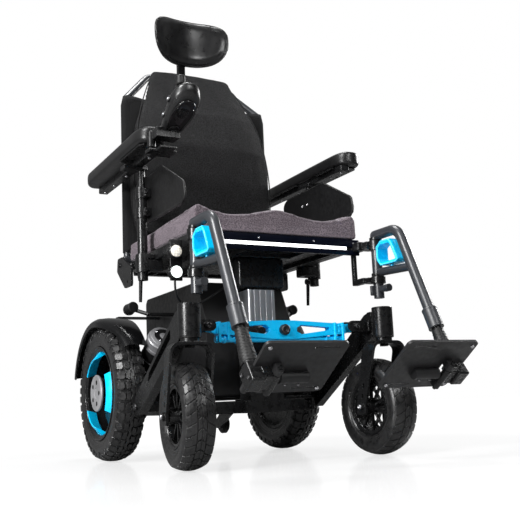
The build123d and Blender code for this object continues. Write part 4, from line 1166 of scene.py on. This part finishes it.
def back_pad():
    verts = [v.co - SHIFT for v in NODES["back_pad"].data.vertices]
    faces = [tuple(p.vertices) for p in NODES["back_pad"].data.polygons]
    obj = raw("back_pad_cover", verts, faces)
    inflate(obj, 0.0065, 4, 0.005, lambda co: 1.0 if co.y < -0.045 or co.z > 1.0 else 0.2)
    relax(obj, 4)

    def edge_gap(co):
        z = co.z * 1000
        knots = [(596, 196), (690, 214), (800, 214), (920, 196), (1010, 168), (1122, 121)]
        for (z0, x0), (z1, x1) in zip(knots, knots[1:]):
            if z <= z1:
                return (x0 + (x1 - x0) * (z - z0) / (z1 - z0)) / 1000 - abs(co.x)
        return 0.12 - abs(co.x)

    def change(co, normal):
        move = wrinkles(co, 0.06, 0.0008, 3.0)
        if normal.y < -0.4:
            crown = smooth_step(0.0, 0.10, edge_gap(co))
            move += 0.004 * crown - 0.0015 * exp(-((co.z - 0.985) / 0.02) ** 2)
            move += 0.0015 * exp(-((co.z - 0.74) / 0.12) ** 2) * crown
        elif abs(normal.x) > 0.5:
            move += groove(co.y + 0.050 - max(0.0, co.z - 1.0) * 0.55, 0.0017, 0.0015)
        return move

    soften(obj, change)
    dress(obj, "back", "back")
    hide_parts("back_pad")
    # sewn edge piping round the front face
    rail = []
    for z, x in ((606, 196), (690, 212.5), (800, 212.5), (920, 194.5), (1010, 166.5), (1112, 119)):
        y = -80 if z < 860 else -84 + (z - 860) * 26 / 110 if z < 970 else -58 + (z - 970) * 60 / 142
        rail.append((x, y + 5, z))
    path = [mm(x, y, z) for x, y, z in rail] + [mm(-x, y, z) for x, y, z in reversed(rail)]
    dress(soft_line("back_piping", path, 0.0017, 3, 8, use_cyclic_u=True), "thread", "back")


def back_wing(tag, side):
    """Stretched cloth from behind the pad, round the upright tube and back: a sleeve with a side panel."""
    rings, rows = [], 42
    lowest, highest = 0.556, 1.003
    for i in range(rows + 1):
        t = i / rows
        z = lowest + (highest - lowest) * t
        cane = 0.216 if z < 0.985 else 0.216 - (z - 0.985) * 0.35
        inner = 0.150 if z < 0.94 else 0.150 + (z - 0.94) * 0.12
        sag = 0.0018 * noise.noise(Vector((side * 3.1, 0.0, z * 16)))
        points = [(inner, -0.0330)]
        for k in range(1, 8):
            f = k / 8
            points.append((inner + (cane - inner) * f, -0.0335 - 0.0012 * sin(pi * f) + sag * sin(pi * f)))
        for k in range(15):
            a = -pi / 2 + pi * k / 14
            points.append((cane + 0.0116 * cos(a), -0.022 + 0.0116 * sin(a)))
        for k in range(1, 6):
            f = k / 6
            points.append((cane - 0.045 * f, -0.0104 - 0.0004 * f))
        rings.append([(side * x, y, z + 0.006 * smooth_step(0.15, 0.21, x) * (t > 0.99)) for x, y in points])
    count = len(rings[0])
    verts = [v for ring in rings for v in ring]
    faces = [(i * count + k, i * count + k + 1, (i + 1) * count + k + 1, (i + 1) * count + k)
             for i in range(rows) for k in range(count - 1)]
    obj = piece(f"back_wing_{tag}", (verts, faces), "wing", "back")
    mod = obj.modifiers.new("thickness", "SOLIDIFY")
    mod.thickness, mod.offset = 0.0012, 0
    apply_modifiers(obj)
    dress(obj, "wing", "back")
    hem = []
    for z in (0.9985, 0.9915):
        ring = rings[-1]
        hem.append(tube_along([(v[0], v[1] - 0.0007 * (1 if k < 9 else 0), z) for k, v in enumerate(ring[:23])],
                              0.0007, 6))
    piece(f"wing_hem_{tag}", merge(hem), "thread", "back")


def headrest():
    """Wide shield-shaped pad that wraps round the head, in glossy leatherette."""
    def outline(a):
        c, s = cos(a), sin(a)
        x = 0.1215 * abs(c) ** 0.60 * (1 if c > 0 else -1)
        z = (0.067 * abs(s) ** 0.52 - 0.013 * abs(c) ** 3) if s > 0 else -(0.083 * abs(s) ** 0.80 - 0.004 * abs(c) ** 3)
        return x, z + 0.002

    def bend(x):
        return 0.026 - 3.7 * x * x

    verts, faces, around, across = [], [], 72, 22
    for half in (-1, 1):
        for j in range(across + 1):
            r = sin(pi / 2 * j / across)
            thick = (1 - r ** 5) ** 0.5
            for i in range(around):
                x, z = outline(2 * pi * i / around)
                x, z = x * r, z * r
                depth = (0.0245 if half > 0 else 0.019) * thick * (1 - 0.25 * abs(x / 0.12) ** 2)
                scoop = 0.006 * (1 - r * r) if half < 0 else 0
                verts.append((x, bend(x) + half * depth + scoop, 1.232 + z))
    ring = around * (across + 1)
    for h in (0, ring):
        for j in range(across):
            for i in range(around):
                k = (i + 1) % around
                low, high = h + j * around, h + (j + 1) * around
                faces.append((low + i, low + k, high + k, high + i))
    obj = raw("headrest_cover", verts, faces)
    inflate(obj, 0.0045, 4, 0.003)
    relax(obj, 6)

    def change(co, normal):
        gap = co.y - bend(co.x) + 0.006
        move = groove(gap, 0.0016, 0.0016) if hypot(normal.x, normal.z) > 0.55 else 0
        return move + wrinkles(co, 0.05, 0.00025, 9.0)

    soften(obj, change)
    dress(obj, "leather", "head")
    points = []
    for i in range(96):
        x, z = outline(2 * pi * i / 96)
        spot = Vector((x, bend(x) - 0.008, 1.232 + z))
        points.append(min((v.co for v in obj.data.vertices), key=lambda co: (co - spot).length_squared).copy())
    for _ in range(3):
        points = [(points[i - 1] + 2 * points[i] + points[(i + 1) % 96]) / 4 for i in range(96)]
    piece("headrest_piping", tube_along(points, 0.0012, 8, closed=True), "leather", "head")
    # ears and pin of the tilt joint, carried over from the CAD solid
    parts = []
    for s in (1, -1):
        plate = [(0.046, 1.188), (0.074, 1.186), (0.086, 1.194), (0.088, 1.204), (0.080, 1.213), (0.046, 1.214)]
        parts.append(loft([[(s * x, y, z) for y, z in plate] for x in (0.0152, 0.0208)]))
    parts.append(moved(lathe([(-0.0212, 0.0001), (-0.0212, 0.005), (0.0212, 0.005), (0.0212, 0.0001)], 24),
                       Matrix.Translation((0, 0.074, 1.2))))
    ears = piece("headrest_ears", merge(parts), "plastic", "head", smooth=False, rounded=0.0008)
    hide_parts("headrest_pad")
    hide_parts("headrest_pad")
    rows = [((s * 0.0212, 0.074, 1.2), (s, 0, 0), 0.0062, 0.0035) for s in (1, -1)]
    screws("headrest_tilt_screws", "head", "dark_steel", rows)


seat_cushion()
back_pad()
headrest()
for tag, side in SIDES:
    back_wing(tag, side)
